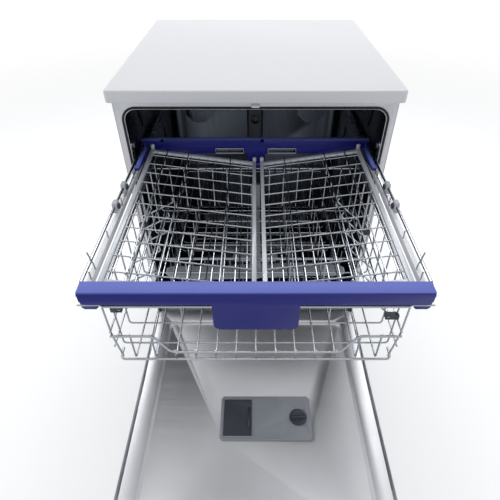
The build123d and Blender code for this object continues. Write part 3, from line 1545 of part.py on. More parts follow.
def main():
    write("base_tray", base_tray())
    write("kick_plate", kick_plate())
    write("tub", tub())
    write("front_frame", front_frame())
    write("door_seal", door_seal())
    write("side_panels", [side_panel(), mirrored(side_panel())])
    write("top_panel", top_panel())
    write("rear_panel", [rear_panel()] + screws())
    write("front_left_foot", foot(-foot_x, foot_front_y))
    write("front_right_foot", foot(foot_x, foot_front_y))
    write("rear_feet", [foot(-foot_x, foot_rear_y), foot(foot_x, foot_rear_y)])
    write("water_duct", water_duct())
    write("top_spray_head", top_spray_head())
    write("sump", sump())
    write("filter_plate", filter_plate())
    write("filter_cup", filter_cup())
    write("softener_tank", softener_tank())
    write("salt_cap", salt_cap())
    write("overflow_float", overflow_float())
    write("circulation_pump", circulation_pump())
    write("pump_impeller", pump_impeller())
    write("drain_pump", drain_pump())
    write("inlet_chamber", inlet_chamber())
    write("hose_connections", hose_connections())
    write("counterweight", counterweight())
    write("hinge_brackets", [hinge_bracket(), mirrored(hinge_bracket())])
    write("hinge_arms", [hinge_arm(), mirrored(hinge_arm())])
    write("door_springs", [door_spring(), mirrored(door_spring())])
    write("fixed_rails", [fixed_rail(), mirrored(fixed_rail())])
    write("middle_rails", [middle_rail(), mirrored(middle_rail())])

    write("door_outer_panel", opened(door_outer_panel()))
    write("door_inner_panel", opened(door_inner_panel()))
    write("control_panel", opened(control_panel()))
    write("display_window", opened(display_window()))
    write("door_latch", opened(door_latch()))
    write("dispenser_body", opened(dispenser_body()))
    write("dispenser_lid", opened(dispenser_lid()))
    write("rinse_aid_cap", opened(rinse_aid_cap()))
    buttons = ("power_button", "program_button", "option_button", "start_button")
    for name, x in zip(buttons, button_places):
        write(name, opened(button(x)))

    write("rack_front_bar", rack_front_bar())
    write("rack_rear_bar", rack_rear_bar())
    side_rail = [rack_side_rail(), height_adjuster()]
    write("rack_side_rails", side_rail + [mirrored(piece) for piece in side_rail])
    write("upper_basket", upper_basket())
    clips = [shelf_clip(-1, left_shelf_inset, left_shelf_drop, y) for y in clip_rows]
    clips += [shelf_clip(1, right_shelf_inset, right_shelf_drop, y) for y in clip_rows]
    write("shelf_clips", clips)
    write("feed_pipe", feed_pipe())
    write("upper_spray_arm", Pos(0, feed_y, upper_arm_z) * spray_arm(208.0, 9.0))
    write("lower_spray_arm", Pos(0, hub_from_front, arm_low) * spray_arm(232.0, 11.0))
    write("left_tray", tray(-1))
    write("right_tray", tray(1))
    write("left_cup_shelf", cup_shelf(-1, left_shelf_inset, left_shelf_drop, left_shelf_reach,
                                      left_shelf_angle))
    write("right_cup_shelf", cup_shelf(1, right_shelf_inset, right_shelf_drop, right_shelf_reach,
                                       right_shelf_angle))
    write("lower_basket", lower_basket())
    for number, y in enumerate(roller_places, 1):
        write(f"roller_pair_{number}", roller_pair(y))
    write("folding_tines", folding_tines())


main()
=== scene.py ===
"""A free-standing dishwasher with its door open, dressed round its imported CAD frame."""
from math import atan2, copysign, cos, hypot, radians, sin

import bpy
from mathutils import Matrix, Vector


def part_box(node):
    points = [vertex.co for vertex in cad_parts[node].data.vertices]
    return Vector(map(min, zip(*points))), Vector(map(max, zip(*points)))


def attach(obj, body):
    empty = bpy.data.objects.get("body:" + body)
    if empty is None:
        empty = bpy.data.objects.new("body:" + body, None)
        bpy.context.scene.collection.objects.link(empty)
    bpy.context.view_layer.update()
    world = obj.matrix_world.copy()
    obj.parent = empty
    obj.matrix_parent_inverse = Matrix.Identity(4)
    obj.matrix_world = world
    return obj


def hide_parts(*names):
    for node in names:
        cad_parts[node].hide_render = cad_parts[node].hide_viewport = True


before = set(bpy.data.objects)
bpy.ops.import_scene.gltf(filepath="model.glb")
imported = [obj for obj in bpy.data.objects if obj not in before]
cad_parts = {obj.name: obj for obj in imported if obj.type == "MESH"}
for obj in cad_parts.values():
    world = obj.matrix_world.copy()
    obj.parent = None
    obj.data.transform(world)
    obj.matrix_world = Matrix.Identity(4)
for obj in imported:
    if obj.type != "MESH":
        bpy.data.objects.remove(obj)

bl_info = {
    "name": "Dishwasher Finishes",
    "version": (1, 0, 0),
    "blender": (4, 5, 0),
    "location": "3D View > Sidebar > Dishwasher",
    "description": "Builds the wire racks and finishes of a dishwasher round its CAD frame",
    "category": "Object",
}

MM = 0.001
BAR_LOW, BAR_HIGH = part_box("rack_front_bar")
REAR_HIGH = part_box("rack_rear_bar")[1]
STRIP_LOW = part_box("rack_side_rails")[0]
LOWER_LOW, LOWER_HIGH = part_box("lower_basket")
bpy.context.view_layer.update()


# Sizes and colours

def length(name, text, millimetres):
    """A size that the user can change, kept in metres."""
    return bpy.props.FloatProperty(name=name, description=text, default=millimetres * MM,
                                   min=0.0, precision=5, unit="LENGTH", subtype="DISTANCE")


def tint(name, text, value):
    """A colour that the user can change."""
    return bpy.props.FloatVectorProperty(name=name, description=text, default=linear(value),
                                         size=3, min=0.0, max=1.0, subtype="COLOR")


def linear(value):
    """The linear colour of an sRGB hex value."""
    channels = (int(value[i:i + 2], 16) / 255 for i in (0, 2, 4))
    return tuple(c / 12.92 if c <= 0.04045 else ((c + 0.055) / 1.055) ** 2.4 for c in channels)


class DishwasherSizes(bpy.types.PropertyGroup):
    """Sizes of the wires and of the eased edges."""
    rim: length("Rim wire", "Diameter of the baskets' rim wires and pivots", 5.0)
    wire: length("Basket wire", "Diameter of the baskets' bent wires", 3.4)
    mesh: length("Mesh wire", "Diameter of the trays' cross wires", 2.6)
    thin: length("Thin wire", "Diameter of the trays' long wires and of the tines", 2.2)
    bend: length("Wire bend", "Length cut back at each bend of a basket wire", 12.0)
    pitch: length("Wire pitch", "Distance between the baskets' long wires", 36.0)
    moulded_edge: length("Moulded edge", "Radius on the edges of moulded plastic", 0.9)
    pressed_edge: length("Pressed edge", "Radius on the edges of pressed sheet", 0.5)


class DishwasherColours(bpy.types.PropertyGroup):
    """Colours of the finishes."""
    enamel: tint("Enamel", "Baked enamel of the cabinet and the door's outside", "E4E5E9")
    laminate: tint("Worktop", "Laminate of the worktop", "DBDCDF")
    # The tub's steel is darkened far below the door's: painted shade for the dim inside of the tub
    tub: tint("Tub steel", "Stainless steel of the tub", "4E535B")
    door: tint("Door steel", "Stainless steel of the door's inner panel", "C9CACE")
    trim: tint("Rack bars", "Moulded front and rear bars of the upper rack", "24287C")
    strip: tint("Side strips", "Moulded strips along the sides of the upper rack", "F5F6F8")
    wire: tint("Rack wire", "Polished stainless wire", "A2A6AC")
    grey: tint("Grey mouldings", "Spray arms, ducts and the dispenser", "8E9299")
    dark: tint("Dark mouldings", "Levers, clips and the filter", "31363F")


# Tools

MERGE_REACH = 0.01 * MM
FLAT_ANGLE = radians(1)
EDGE_ANGLE = radians(35)
WIRE_ANGLE = radians(50)
BEND_SEGMENTS = 5


def settings():
    """The sizes and the colours of this scene."""
    scene = bpy.context.scene
    return scene.dishwasher_sizes, scene.dishwasher_colours


def only(*pieces):
    """Selects these pieces and nothing else."""
    bpy.ops.object.select_all(action="DESELECT")
    for piece in pieces:
        piece.select_set(True)
    bpy.context.view_layer.objects.active = pieces[0]


def metres(point):
    """A point in millimetres as a vector in metres."""
    return Vector(point) * MM


def open_mesh(kind, action="DESELECT"):
    """Opens the active piece to edit its vertices or faces."""
    bpy.ops.object.mode_set(mode="EDIT")
    bpy.ops.mesh.select_mode(type=kind)
    bpy.ops.mesh.select_all(action=action)


def bent_wires(name, runs, diameter, bend=0.0, closed=False, resolution=1):
    """One mesh of round wires along their runs, with every corner rounded."""
    points, edges, corners = [], [], []
    for run in runs:
        first = len(points)
        points += [metres(p) for p in run]
        edges += [(i, i + 1) for i in range(first, len(points) - 1)]
        if closed:
            edges.append((len(points) - 1, first))
        corners += range(first, len(points)) if closed else range(first + 1, len(points) - 1)
    mesh = bpy.data.meshes.new(name)
    mesh.from_pydata(points, edges, [])
    wires = bpy.data.objects.new(name, mesh)
    bpy.context.collection.objects.link(wires)
    only(wires)
    if bend and corners:
        open_mesh("VERT")
        bpy.ops.object.mode_set(mode="OBJECT")
        for i in corners:
            mesh.vertices[i].select = True
        bpy.ops.object.mode_set(mode="EDIT")
        bpy.ops.mesh.bevel(offset=bend, segments=BEND_SEGMENTS, affect="VERTICES")
        bpy.ops.object.mode_set(mode="OBJECT")
    bpy.ops.object.convert(target="CURVE")
    wires = bpy.context.object
    wires.data.dimensions = "3D"
    wires.data.bevel_depth = diameter / 2
    wires.data.bevel_resolution = resolution
    wires.data.use_fill_caps = not closed
    bpy.ops.object.convert(target="MESH")
    wires = bpy.context.object
    bpy.ops.object.shade_smooth_by_angle(angle=WIRE_ANGLE)
    return wires


def cube(low, high):
    """A block between two corners, in millimetres."""
    low, high = Vector(low), Vector(high)
    bpy.ops.mesh.primitive_cube_add(size=1, location=(low + high) / 2 * MM)
    block = bpy.context.object
    block.scale = (high - low) * MM
    bpy.ops.object.transform_apply(location=True, rotation=True, scale=True)
    return block


def cylinder(radius, depth, centre, sides, turn=0):
    """A cylinder in millimetres, standing, or turned about the depth axis by this angle."""
    bpy.ops.mesh.primitive_cylinder_add(vertices=sides, radius=radius * MM, depth=depth * MM,
                                        location=metres(centre), rotation=(0, radians(turn), 0))
    bpy.ops.object.transform_apply(location=True, rotation=True, scale=True)
    return bpy.context.object


def joined(name, pieces):
    """Several meshes as one piece."""
    only(*pieces)
    if len(pieces) > 1:
        bpy.ops.object.join()
    piece = bpy.context.object
    piece.name = name
    return piece


def merged_copy(name, node):
    """A copy of a CAD node with its triangles joined and its flat faces whole."""
    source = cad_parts[node]
    piece = bpy.data.objects.new(name, source.data.copy())
    bpy.context.collection.objects.link(piece)
    piece.data.materials.clear()
    only(piece)
    open_mesh("VERT", "SELECT")
    bpy.ops.mesh.remove_doubles(threshold=MERGE_REACH)
    bpy.ops.mesh.customdata_custom_splitnormals_clear()
    bpy.ops.mesh.dissolve_limited(angle_limit=FLAT_ANGLE)
    bpy.ops.object.mode_set(mode="OBJECT")
    return piece


def keep_solids(piece, wanted):
    """Leaves only the solids of a piece whose size, in millimetres, passes the test."""
    only(piece)
    bpy.ops.object.mode_set(mode="EDIT")
    bpy.ops.mesh.separate(type="LOOSE")
    bpy.ops.object.mode_set(mode="OBJECT")
    kept = []
    for solid in list(bpy.context.selected_objects):
        low = Vector(map(min, *[v.co for v in solid.data.vertices])) / MM
        high = Vector(map(max, *[v.co for v in solid.data.vertices])) / MM
        if wanted(low, high):
            kept.append(solid)
        else:
            bpy.data.objects.remove(solid)
    return joined(kept[0].name, kept)


def ease_edges(piece, width, segments=2):
    """Rounds a piece's sharp edges, so that they catch the light."""
    only(piece)
    bevel = piece.modifiers.new("Eased edges", "BEVEL")
    bevel.width = width
    bevel.segments = segments
    bevel.limit_method = "ANGLE"
    bevel.angle_limit = EDGE_ANGLE
    bevel.use_clamp_overlap = True
    bevel.harden_normals = True
    bpy.ops.object.modifier_apply(modifier=bevel.name)
    bpy.ops.object.shade_smooth_by_angle(angle=EDGE_ANGLE)
    return piece


def dress(piece, material, body, slot, *nodes):
    """Gives a piece its finish and its body, and hides the CAD nodes that it stands for."""
    piece.data.materials.clear()
    piece.data.materials.append(material)
    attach(piece, body)
    if nodes:
        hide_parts(*nodes)
    return piece


def coat(material, *nodes):
    """Gives a finish to CAD nodes whose shape stays as it is."""
    for node in nodes:
        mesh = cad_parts[node].data
        mesh.materials.clear()
        mesh.materials.append(material)


def eased_node(node, material, body, slot, width):
    """A CAD node with its edges eased, in its finish."""
    piece = merged_copy(f"{node}_finished", node)
    ease_edges(piece, width)
    return dress(piece, material, body, slot, node)


# Finishes

NOISE_LOW, NOISE_HIGH = 0.3, 0.7
# The paler violet mixed onto the rack bars' upward faces: a painted sheen
TRIM_PAINTED_SHEEN = "6F7AC8"


def add(tree, kind, links=None, **values):
    """Adds a node with its settings, and with values or links for its sockets."""
    node = tree.nodes.new(kind)
    for name, value in values.items():
        setattr(node, name, value)
    for socket, value in (links or {}).items():
        if isinstance(value, bpy.types.NodeSocket):
            tree.links.new(value, node.inputs[socket])
        else:
            node.inputs[socket].default_value = value
    return node


def finish(name, colour, roughness, metallic=0.0, coat_weight=0.0):
    """A new material with an even shader, ready for its pattern."""
    material = bpy.data.materials.new(name)
    material.use_nodes = True
    tree = material.node_tree
    shader = tree.nodes["Principled BSDF"]
    shader.inputs["Base Color"].default_value = (*colour, 1.0)
    shader.inputs["Roughness"].default_value = roughness
    shader.inputs["Metallic"].default_value = metallic
    shader.inputs["Coat Weight"].default_value = coat_weight
    return material, tree, shader


def position(tree):
    """Where each point lies on its piece, for a pattern to follow."""
    return add(tree, "ShaderNodeTexCoord").outputs["Object"]


def pattern(tree, spacing, stretch=(1, 1, 1), detail=3.0):
    """Noise whose patches are this many millimetres apart, stretched along an axis."""
    scale = [s / (spacing * MM) for s in stretch]
    mapped = add(tree, "ShaderNodeMapping", {"Vector": position(tree), "Scale": scale})
    return add(tree, "ShaderNodeTexNoise", {"Vector": mapped.outputs[0], "Scale": 1.0,
                                            "Detail": detail}).outputs["Fac"]


def vary(tree, shader, socket, fac, low, high):
    """Lets a shader's value wander between two limits with a pattern."""
    ranged = add(tree, "ShaderNodeMapRange", {"Value": fac, "From Min": NOISE_LOW,
                                              "From Max": NOISE_HIGH, "To Min": low, "To Max": high})
    tree.links.new(ranged.outputs[0], shader.inputs[socket])


def shade(tree, shader, fac, colour, change):
    """Lets a colour wander a little lighter and darker with a pattern."""
    light = [min(1.0, c * (1 + change)) for c in colour]
    dull = [c * (1 - change) for c in colour]
    mix = add(tree, "ShaderNodeMix", {0: fac, 6: (*dull, 1), 7: (*light, 1)}, data_type="RGBA")
    tree.links.new(mix.outputs[2], shader.inputs["Base Color"])


def relief(tree, shader, fac, depth, strength):
    """Raises a surface with a pattern, to this many millimetres."""
    bump = add(tree, "ShaderNodeBump", {"Height": fac, "Distance": depth * MM, "Strength": strength})
    tree.links.new(bump.outputs[0], shader.inputs["Normal"])


def baked_enamel(colour):
    """Sprayed and baked enamel on steel: a satin gloss with the spray's faint orange peel."""
    material, tree, shader = finish("Baked enamel", colour, 0.3, coat_weight=0.2)
    peel = pattern(tree, 2.5)
    vary(tree, shader, "Roughness", pattern(tree, 160.0, detail=0.0), 0.29, 0.34)
    shade(tree, shader, pattern(tree, 200.0, detail=0.0), colour, 0.01)
    relief(tree, shader, peel, 0.05, 0.15)
    return material


def worktop_laminate(colour):
    """Pressed melamine laminate: matt, with a fine pearl texture from the press plate."""
    material, tree, shader = finish("Melamine laminate", colour, 0.42)
    shader.inputs["Specular IOR Level"].default_value = 0.2
    vary(tree, shader, "Roughness", pattern(tree, 3.0), 0.36, 0.5)
    shade(tree, shader, pattern(tree, 4.0), colour, 0.03)
    relief(tree, shader, pattern(tree, 1.6), 0.06, 0.25)
    return material


def brushed_stainless(name, colour, roughness, stretch):
    """Rolled stainless sheet: its grain draws reflections out across the lines.
    The real lines are 0.2 mm apart, so they are drawn at 2 mm to show."""
    material, tree, shader = finish(name, colour, roughness, metallic=1.0)
    grain = pattern(tree, 2.0, stretch)
    vary(tree, shader, "Roughness", grain, roughness - 0.04, roughness + 0.05)
    shade(tree, shader, pattern(tree, 90.0, detail=2.0), colour, 0.05)
    return material


def drawn_wire(name, colour, roughness):
    """Drawn and electropolished stainless wire: bright, with soft runs of tone along it."""
    material, tree, shader = finish(name, colour, roughness, metallic=1.0)
    vary(tree, shader, "Roughness", pattern(tree, 9.0), roughness - 0.06, roughness + 0.1)
    shade(tree, shader, pattern(tree, 40.0), colour, 0.12)
    return material


def moulded(name, colour, roughness, grain=1.4, depth=0.05, coat_weight=0.0):
    """Injection-moulded plastic: a fine spark-eroded grain, slightly uneven in its gloss."""
    material, tree, shader = finish(name, colour, roughness, coat_weight=coat_weight)
    vary(tree, shader, "Roughness", pattern(tree, 35.0), roughness - 0.05, roughness + 0.07)
    shade(tree, shader, pattern(tree, 70.0, detail=4.0), colour, 0.04)
    relief(tree, shader, pattern(tree, grain), depth, 0.25)
    return material


def violet_trim(colour):
    """Injection-moulded ABS in violet: polished on its faces, and matt on top, where the mould is
    spark-eroded against finger marks. Its upward faces are mixed towards a paler violet, a painted sheen of
    the light from above."""
    material, tree, shader = finish("Violet ABS", colour, 0.28)
    shader.inputs["Specular IOR Level"].default_value = 0.15
    normal = add(tree, "ShaderNodeTexCoord").outputs["Normal"]
    up = add(tree, "ShaderNodeSeparateXYZ", {"Vector": normal}).outputs["Z"]
    top = add(tree, "ShaderNodeMapRange", {"Value": up, "From Min": 0.5, "From Max": 0.95}).outputs[0]
    tone = add(tree, "ShaderNodeMapRange", {"Value": pattern(tree, 70.0, detail=4.0), "To Min": 0.8,
                                            "To Max": 1.0}).outputs[0]
    # Painted sheen: faces that point up get the paler violet, a little uneven with the pattern
    painted_sheen_amount = add(tree, "ShaderNodeMath", {0: top, 1: tone}, operation="MULTIPLY").outputs[0]
    mixed = add(tree, "ShaderNodeMix", {0: painted_sheen_amount, 6: (*colour, 1), 7: (*linear(TRIM_PAINTED_SHEEN), 1)},
                data_type="RGBA")
    tree.links.new(mixed.outputs[2], shader.inputs["Base Color"])
    vary(tree, shader, "Roughness", top, 0.26, 0.42)
    relief(tree, shader, pattern(tree, 1.4), 0.05, 0.25)
    return material


def zinc_plate():
    """Hot-dipped zinc: the crystals of the coating show as patches of tone about 8 mm across."""
    colour = linear("A4A8AE")
    material, tree, shader = finish("Galvanised sheet", colour, 0.4, metallic=1.0)
    crystals = add(tree, "ShaderNodeTexVoronoi", {"Vector": position(tree), "Scale": 1 / (8 * MM)})
    tone = add(tree, "ShaderNodeSeparateColor", {0: crystals.outputs["Color"]}).outputs[0]
    shade(tree, shader, tone, colour, 0.16)
    vary(tree, shader, "Roughness", tone, 0.32, 0.5)
    return material


def perforated_steel():
    """Etched stainless filter foil: rows of fine holes, drawn 3 mm apart so that they show."""
    colour = linear("9DA1A8")
    material, tree, shader = finish("Perforated filter foil", colour, 0.35, metallic=1.0)
    holes = add(tree, "ShaderNodeTexVoronoi", {"Vector": position(tree), "Scale": 1 / (3 * MM),
                                               "Randomness": 0.0})
    dark = add(tree, "ShaderNodeMapRange", {"Value": holes.outputs["Distance"], "From Min": 0.22,
                                            "From Max": 0.3})
    shade(tree, shader, dark.outputs[0], colour, 0.75)
    relief(tree, shader, dark.outputs[0], 0.3, 0.5)
    return material


def cast_weight():
    """Cast concrete and iron block: rough, pitted and uneven in tone."""
    colour = linear("6C6D70")
    material, tree, shader = finish("Cast block", colour, 0.88)
    shade(tree, shader, pattern(tree, 14.0, detail=8.0), colour, 0.35)
    relief(tree, shader, pattern(tree, 3.0, detail=8.0), 0.8, 0.7)
    return material


def tinted_window():
    """Smoked acrylic: black, with a deep gloss from its polished mould."""
    colour = linear("0C0D12")
    material, tree, shader = finish("Smoked acrylic", colour, 0.08, coat_weight=1.0)
    vary(tree, shader, "Roughness", pattern(tree, 50.0), 0.05, 0.12)
    return material


FINISHES = {}


def make_finishes():
    """Makes every finish once, in the scene's colours."""
    colours = settings()[1]
    FINISHES.update(
        enamel=baked_enamel(colours.enamel),
        laminate=worktop_laminate(colours.laminate),
        # Dark tub steel: painted shade for the tub's dim inside
        tub=brushed_stainless("Shaded stainless tub sheet", colours.tub, 0.3, (1, 1, 0.02)),
        door=brushed_stainless("Stainless door sheet", colours.door, 0.42, (0.02, 1, 1)),
        trim=violet_trim(colours.trim),
        strip=moulded("White polypropylene", colours.strip, 0.36),
        wire=drawn_wire("Electropolished wire", colours.wire, 0.2),
        bar=moulded("Silver-coated bar", linear("C9CCD2"), 0.3, coat_weight=0.3),
        rail=drawn_wire("Rolled rail steel", linear("C4C7CC"), 0.26),
        grey=moulded("Grey polypropylene", colours.grey, 0.42),
        dark=moulded("Dark polyamide", colours.dark, 0.45),
        lever=moulded("Light grey polyamide", linear("B6B9BE"), 0.4),
        panel=moulded("Light grey ABS", linear("DDDFE3"), 0.34, coat_weight=0.1),
        base=moulded("Black polypropylene", linear("1B1D20"), 0.55, 2.0, 0.12),
        natural=moulded("Natural polypropylene", linear("D2D3CB"), 0.44),
        rubber=moulded("Seal rubber", linear("17181B"), 0.75, 1.0, 0.08),
        zinc=zinc_plate(),
        filter=perforated_steel(),
        cast=cast_weight(),
        window=tinted_window(),
    )


# Places and measures of the racks, in millimetres, from the CAD bars

BAR_TOP = BAR_HIGH.z / MM
BAR_HALF = BAR_HIGH.x / MM
BAR_FACE = BAR_LOW.y / MM
BAR_BACK = BAR_FACE + 28.0
BAR_END, BAR_END_DRAW = 14.0, 3.6
REAR_FRONT = REAR_HIGH.y / MM - 18.0
LONG_WIRES = 13
NEAR = 0.01
# The gap drawn between welded wires, and how far a wire's end stands past the wire that holds it
WELD, STAND = 0.06, 2.0

# Upper basket
BASKET_HALF = BAR_HALF - 28.0
BASKET_FRONT = BAR_FACE + 14.0
BASKET_BACK = REAR_FRONT - 6.0
BASKET_FLOOR = BAR_TOP - 186.0
RIM_Z = BAR_TOP - 40.0
REAR_RIM_Z = RIM_Z - 30.0
RIM_FALL_Y = BASKET_BACK - 46.0
SIDE_WIRE_Z = BAR_TOP - 117.0
LOW_WIRE_Z = BASKET_FLOOR + 30.0
DIP_Z = BAR_TOP - 162.0
DIP_INNER, DIP_OUTER = 150.0, 176.0
FRONT_WIRE, FRONT_BEND = 4.6, 9.0
RIM_BEND = 14.0
SILL_RETURN = 24.0
TINE_LEAN, TINE_HEIGHT = 5.0, 62.0

# Lower basket
LOWER_FRONT = LOWER_LOW.y / MM + 16.0
LOWER_BACK = LOWER_HIGH.y / MM - 6.76
LOWER_FLOOR = 196.0
LOWER_RIM = LOWER_FLOOR + 150.0
LOWER_HALF = 251.0
LOWER_REAR_RISE = 40.0
LOWER_SIDE_Z = LOWER_FLOOR + 70.0
LOWER_RIM_BEND = 16.0
PLATE_TINE_LEAN, PLATE_TINE_HEIGHT = 7.0, 88.0
FITTING_LEAST, FITTING_MIDDLE, FITTING_MOST = 3.5, 10.0, 140.0

# Cup shelves
SHELF_FRONT = BASKET_FRONT + 30.0
SHELF_BACK = BASKET_BACK - 150.0
SHELF_ARMS = 6
SHELF_LIP = (4.0, 10.0)
SHELF_RODS = (0.4, 0.8)
SHELF_END = 4.0

# Cutlery trays
TRAY_BAR_HALF = 5.75
TRAY_BAR_LEAST = 7.5
SLIM = 0.66
TRAY_OUTER = BAR_HALF - 27.0
TRAY_INNER = {-1: -3.0, 1: 16.0}
TRAY_Z = BAR_TOP - 15.0
TRAY_FALL = 35.0
END_STRIP = 16.0
END_GAP = 1.5
MESH_LIE = 4.0
COMBS = (0.16, 0.36, 0.76)
COMB_HEIGHT = 14.0
PEG_RADIUS, PEG_HEIGHT = 4.8, 11.0

# Slides, side rods and posts
STRIP_LEAST = 200.0
SLIDE_HEIGHT = 12.8
SLIDE_TOP = STRIP_LOW.z / MM + SLIDE_HEIGHT
SIDE_ROD = 5.6
ROD_X, ROD_Z = BAR_HALF - 2.8, BAR_TOP - 3.0
POST = 2.6
POST_X = BAR_HALF - 6.8
POST_COUNT = 5
POST_END = 24.0

# Corners of blocks at the rack's sides: outward from the bars' ends, backward, upward from their tops
CLIP = ((-7.5, -13.0, -15.0), (2.0, 13.0, 5.0))
BRACKET_ARM = ((-18.5, -118.0, -22.0), (-8.5, -18.0, -2.0))
BRACKET_LINK = ((-11.4, -20.0, -21.0), (-8.5, 1.0, -3.0))
CLIP_PLACES = (BAR_FACE + 236.0, BAR_FACE + 304.0)
CLIP_TAPER = 5.0
BRACKET_TAPER = 13.0

# Left and right edges of the rear bar's windows
WINDOWS = ((-96.0, -30.0), (32.0, 98.0))
WINDOW_LOW = REAR_HIGH.z / MM - 33.0
WINDOW_HIGH = WINDOW_LOW + 10.0

# Folding tines and rollers
PIVOT_Y, PIVOT_Z = LOWER_FRONT + 250.0, LOWER_FLOOR + 14.0
FOLDING_TINES = 9
FOLDING_HEIGHT = 96.0
WHEEL_WIDTH = 13.0


def spread(first, last, count):
    """Evenly spaced values from first to last."""
    return [first + (last - first) * i / (count - 1) for i in range(count)]


def across(side_x, y, top, floor):
    """The run of a wire down one side of a basket, across its floor and up the other."""
    return [(-side_x, y, top), (-side_x, y, floor), (side_x, y, floor), (side_x, y, top)]


def long_places(pitch):
    """Where a basket's long wires lie across the machine."""
    half = (LONG_WIRES - 1) / 2 * pitch
    return spread(-half, half, LONG_WIRES)


def standing_tines(places, rows, foot, lean, height):
    """Tines that stand on the long wires and lean back."""
    return [[(x, y, foot), (x, y + lean, foot + height)] for x in places for y in rows]


def upper_basket_wires(sizes):
    """Every wire of the upper basket, by diameter."""
    wire, rim = sizes.wire / MM, sizes.rim / MM
    pitch, half = sizes.pitch / MM, BASKET_HALF
    front, back, floor = BASKET_FRONT, BASKET_BACK, BASKET_FLOOR
    out, over = (rim + wire) / 2 + WELD, wire + WELD
    rim_x, rim_front, rim_back = half + out, front - out, back + out
    loop = [(-rim_x, rim_front, RIM_Z), (rim_x, rim_front, RIM_Z), (rim_x, RIM_FALL_Y, RIM_Z),
            (rim_x, rim_back, REAR_RIM_Z), (-rim_x, rim_back, REAR_RIM_Z), (-rim_x, RIM_FALL_Y, RIM_Z)]
    rows = spread(front + 34.0, back - 16.0, 10)
    runs = [across(half, y, RIM_Z + STAND, floor) for y in rows]
    for x in long_places(pitch):
        top = DIP_Z if abs(x) < DIP_INNER else SIDE_WIRE_Z
        runs.append([(x, front, top), (x, front, floor + over), (x, back, floor + over),
                     (x, back, REAR_RIM_Z + STAND)])
    face, end = front - over, half + 1.0
    dip = [(-end, face, SIDE_WIRE_Z), (-DIP_OUTER, face, SIDE_WIRE_Z), (-DIP_INNER, face, DIP_Z),
           (DIP_INNER, face, DIP_Z), (DIP_OUTER, face, SIDE_WIRE_Z), (end, face, SIDE_WIRE_Z)]
    sill_x, sill_y, sill_z = half - 2.0, front - 0.8, floor - 0.9
    sill = [(-sill_x, front + SILL_RETURN, sill_z), (-sill_x, sill_y, sill_z),
            (sill_x, sill_y, sill_z), (sill_x, front + SILL_RETURN, sill_z)]
    straight = []
    for side in (-1, 1):
        x = side * (half + over)
        straight += [[(x, front + 4.0, z), (x, back, z)] for z in (SIDE_WIRE_Z, LOW_WIRE_Z)]
        runs.append([(side * (half - 0.8), front, RIM_Z - STAND), (side * (half - 1.0), front, SIDE_WIRE_Z),
                     (side * (half - 9.0), front, floor + 8.0)])
    foot = floor + over + wire / 2 + 3 * WELD
    behind = [y + wire + 1.0 for y in rows[1:-1]]
    places = [count * pitch for count in (-4, -2, 2, 4)]
    tines = standing_tines(places, behind, foot, TINE_LEAN, TINE_HEIGHT)
    return [bent_wires("rim", [loop], sizes.rim, RIM_BEND * MM, closed=True, resolution=3),
            bent_wires("front", [dip, sill], FRONT_WIRE * MM, FRONT_BEND * MM, resolution=3),
            bent_wires("bent", runs, sizes.wire, bend=sizes.bend / 2, resolution=2),
            bent_wires("straight", straight, sizes.wire, resolution=2),
            bent_wires("tines", tines, sizes.thin)]


class DISHWASHER_OT_upper_basket(bpy.types.Operator):
    """Welds the upper wire basket"""
    bl_idname = "dishwasher.upper_basket"
    bl_label = "Upper basket"

    def execute(self, context):
        piece = joined("upper_basket_wires", upper_basket_wires(settings()[0]))
        dress(piece, FINISHES["wire"], "upper_rack", "wire_steel", "upper_basket")
        return {"FINISHED"}


def lower_basket_wires(sizes):
    """Every wire of the lower basket, by diameter."""
    wire, rim, pitch = sizes.wire / MM, sizes.rim / MM, sizes.pitch / MM
    half, front, back, floor, top = LOWER_HALF, LOWER_FRONT, LOWER_BACK, LOWER_FLOOR, LOWER_RIM
    out, over = (rim + wire) / 2 + WELD, wire + WELD
    edge, rim_front, rim_back = half + out, front - out, back + out
    loop = [(-edge, rim_front, top), (edge, rim_front, top), (edge, rim_back, top), (-edge, rim_back, top)]
    rows = spread(front + 30.0, back - 14.0, 11)
    runs = [across(half, y, top + STAND, floor) for y in rows]
    for x in long_places(pitch):
        runs.append([(x, front, top + STAND), (x, front, floor + over), (x, back, floor + over),
                     (x, back, top + LOWER_REAR_RISE)])
    rail_x, rail_z = half - 20.0, top + LOWER_REAR_RISE - 4.0
    straight = [[(-rail_x, back + over, rail_z), (rail_x, back + over, rail_z)]]
    for side in (-1, 1):
        x = side * (half + over)
        straight.append([(x, front + 4.0, LOWER_SIDE_Z), (x, back, LOWER_SIDE_Z)])
    foot = floor + over + wire / 2 + 3 * WELD
    behind = [y + wire + 1.0 for y in rows[1:-1:2]]
    places = [count * pitch for count in (1, 3, 5)]
    tines = standing_tines(places, behind, foot, PLATE_TINE_LEAN, PLATE_TINE_HEIGHT)
    return [bent_wires("lower_rim", [loop], sizes.rim, LOWER_RIM_BEND * MM, closed=True, resolution=3),
            bent_wires("lower_bent", runs, sizes.wire, sizes.bend, resolution=2),
            bent_wires("lower_straight", straight, sizes.wire, resolution=2),
            bent_wires("lower_tines", tines, sizes.thin)]


class DISHWASHER_OT_lower_basket(bpy.types.Operator):
    """Welds the lower wire basket and adds its handle and roller carriers"""
    bl_idname = "dishwasher.lower_basket"
    bl_label = "Lower basket"

    def execute(self, context):
        wires = joined("lower_basket_wires", lower_basket_wires(settings()[0]))
        dress(wires, FINISHES["wire"], "lower_basket", "wire_steel", "lower_basket")
        plastic = keep_solids(merged_copy("lower_basket_fittings", "lower_basket"), is_fitting)
        ease_edges(plastic, settings()[0].moulded_edge)
        dress(plastic, FINISHES["grey"], "lower_basket", "grey_plastic")
        return {"FINISHED"}


def is_fitting(low, high):
    """Whether a solid of the lower basket is moulded: its handle, a roller carrier or a pivot block."""
    least, middle, most = sorted(high - low)
    return least > FITTING_LEAST and middle > FITTING_MIDDLE and most < FITTING_MOST


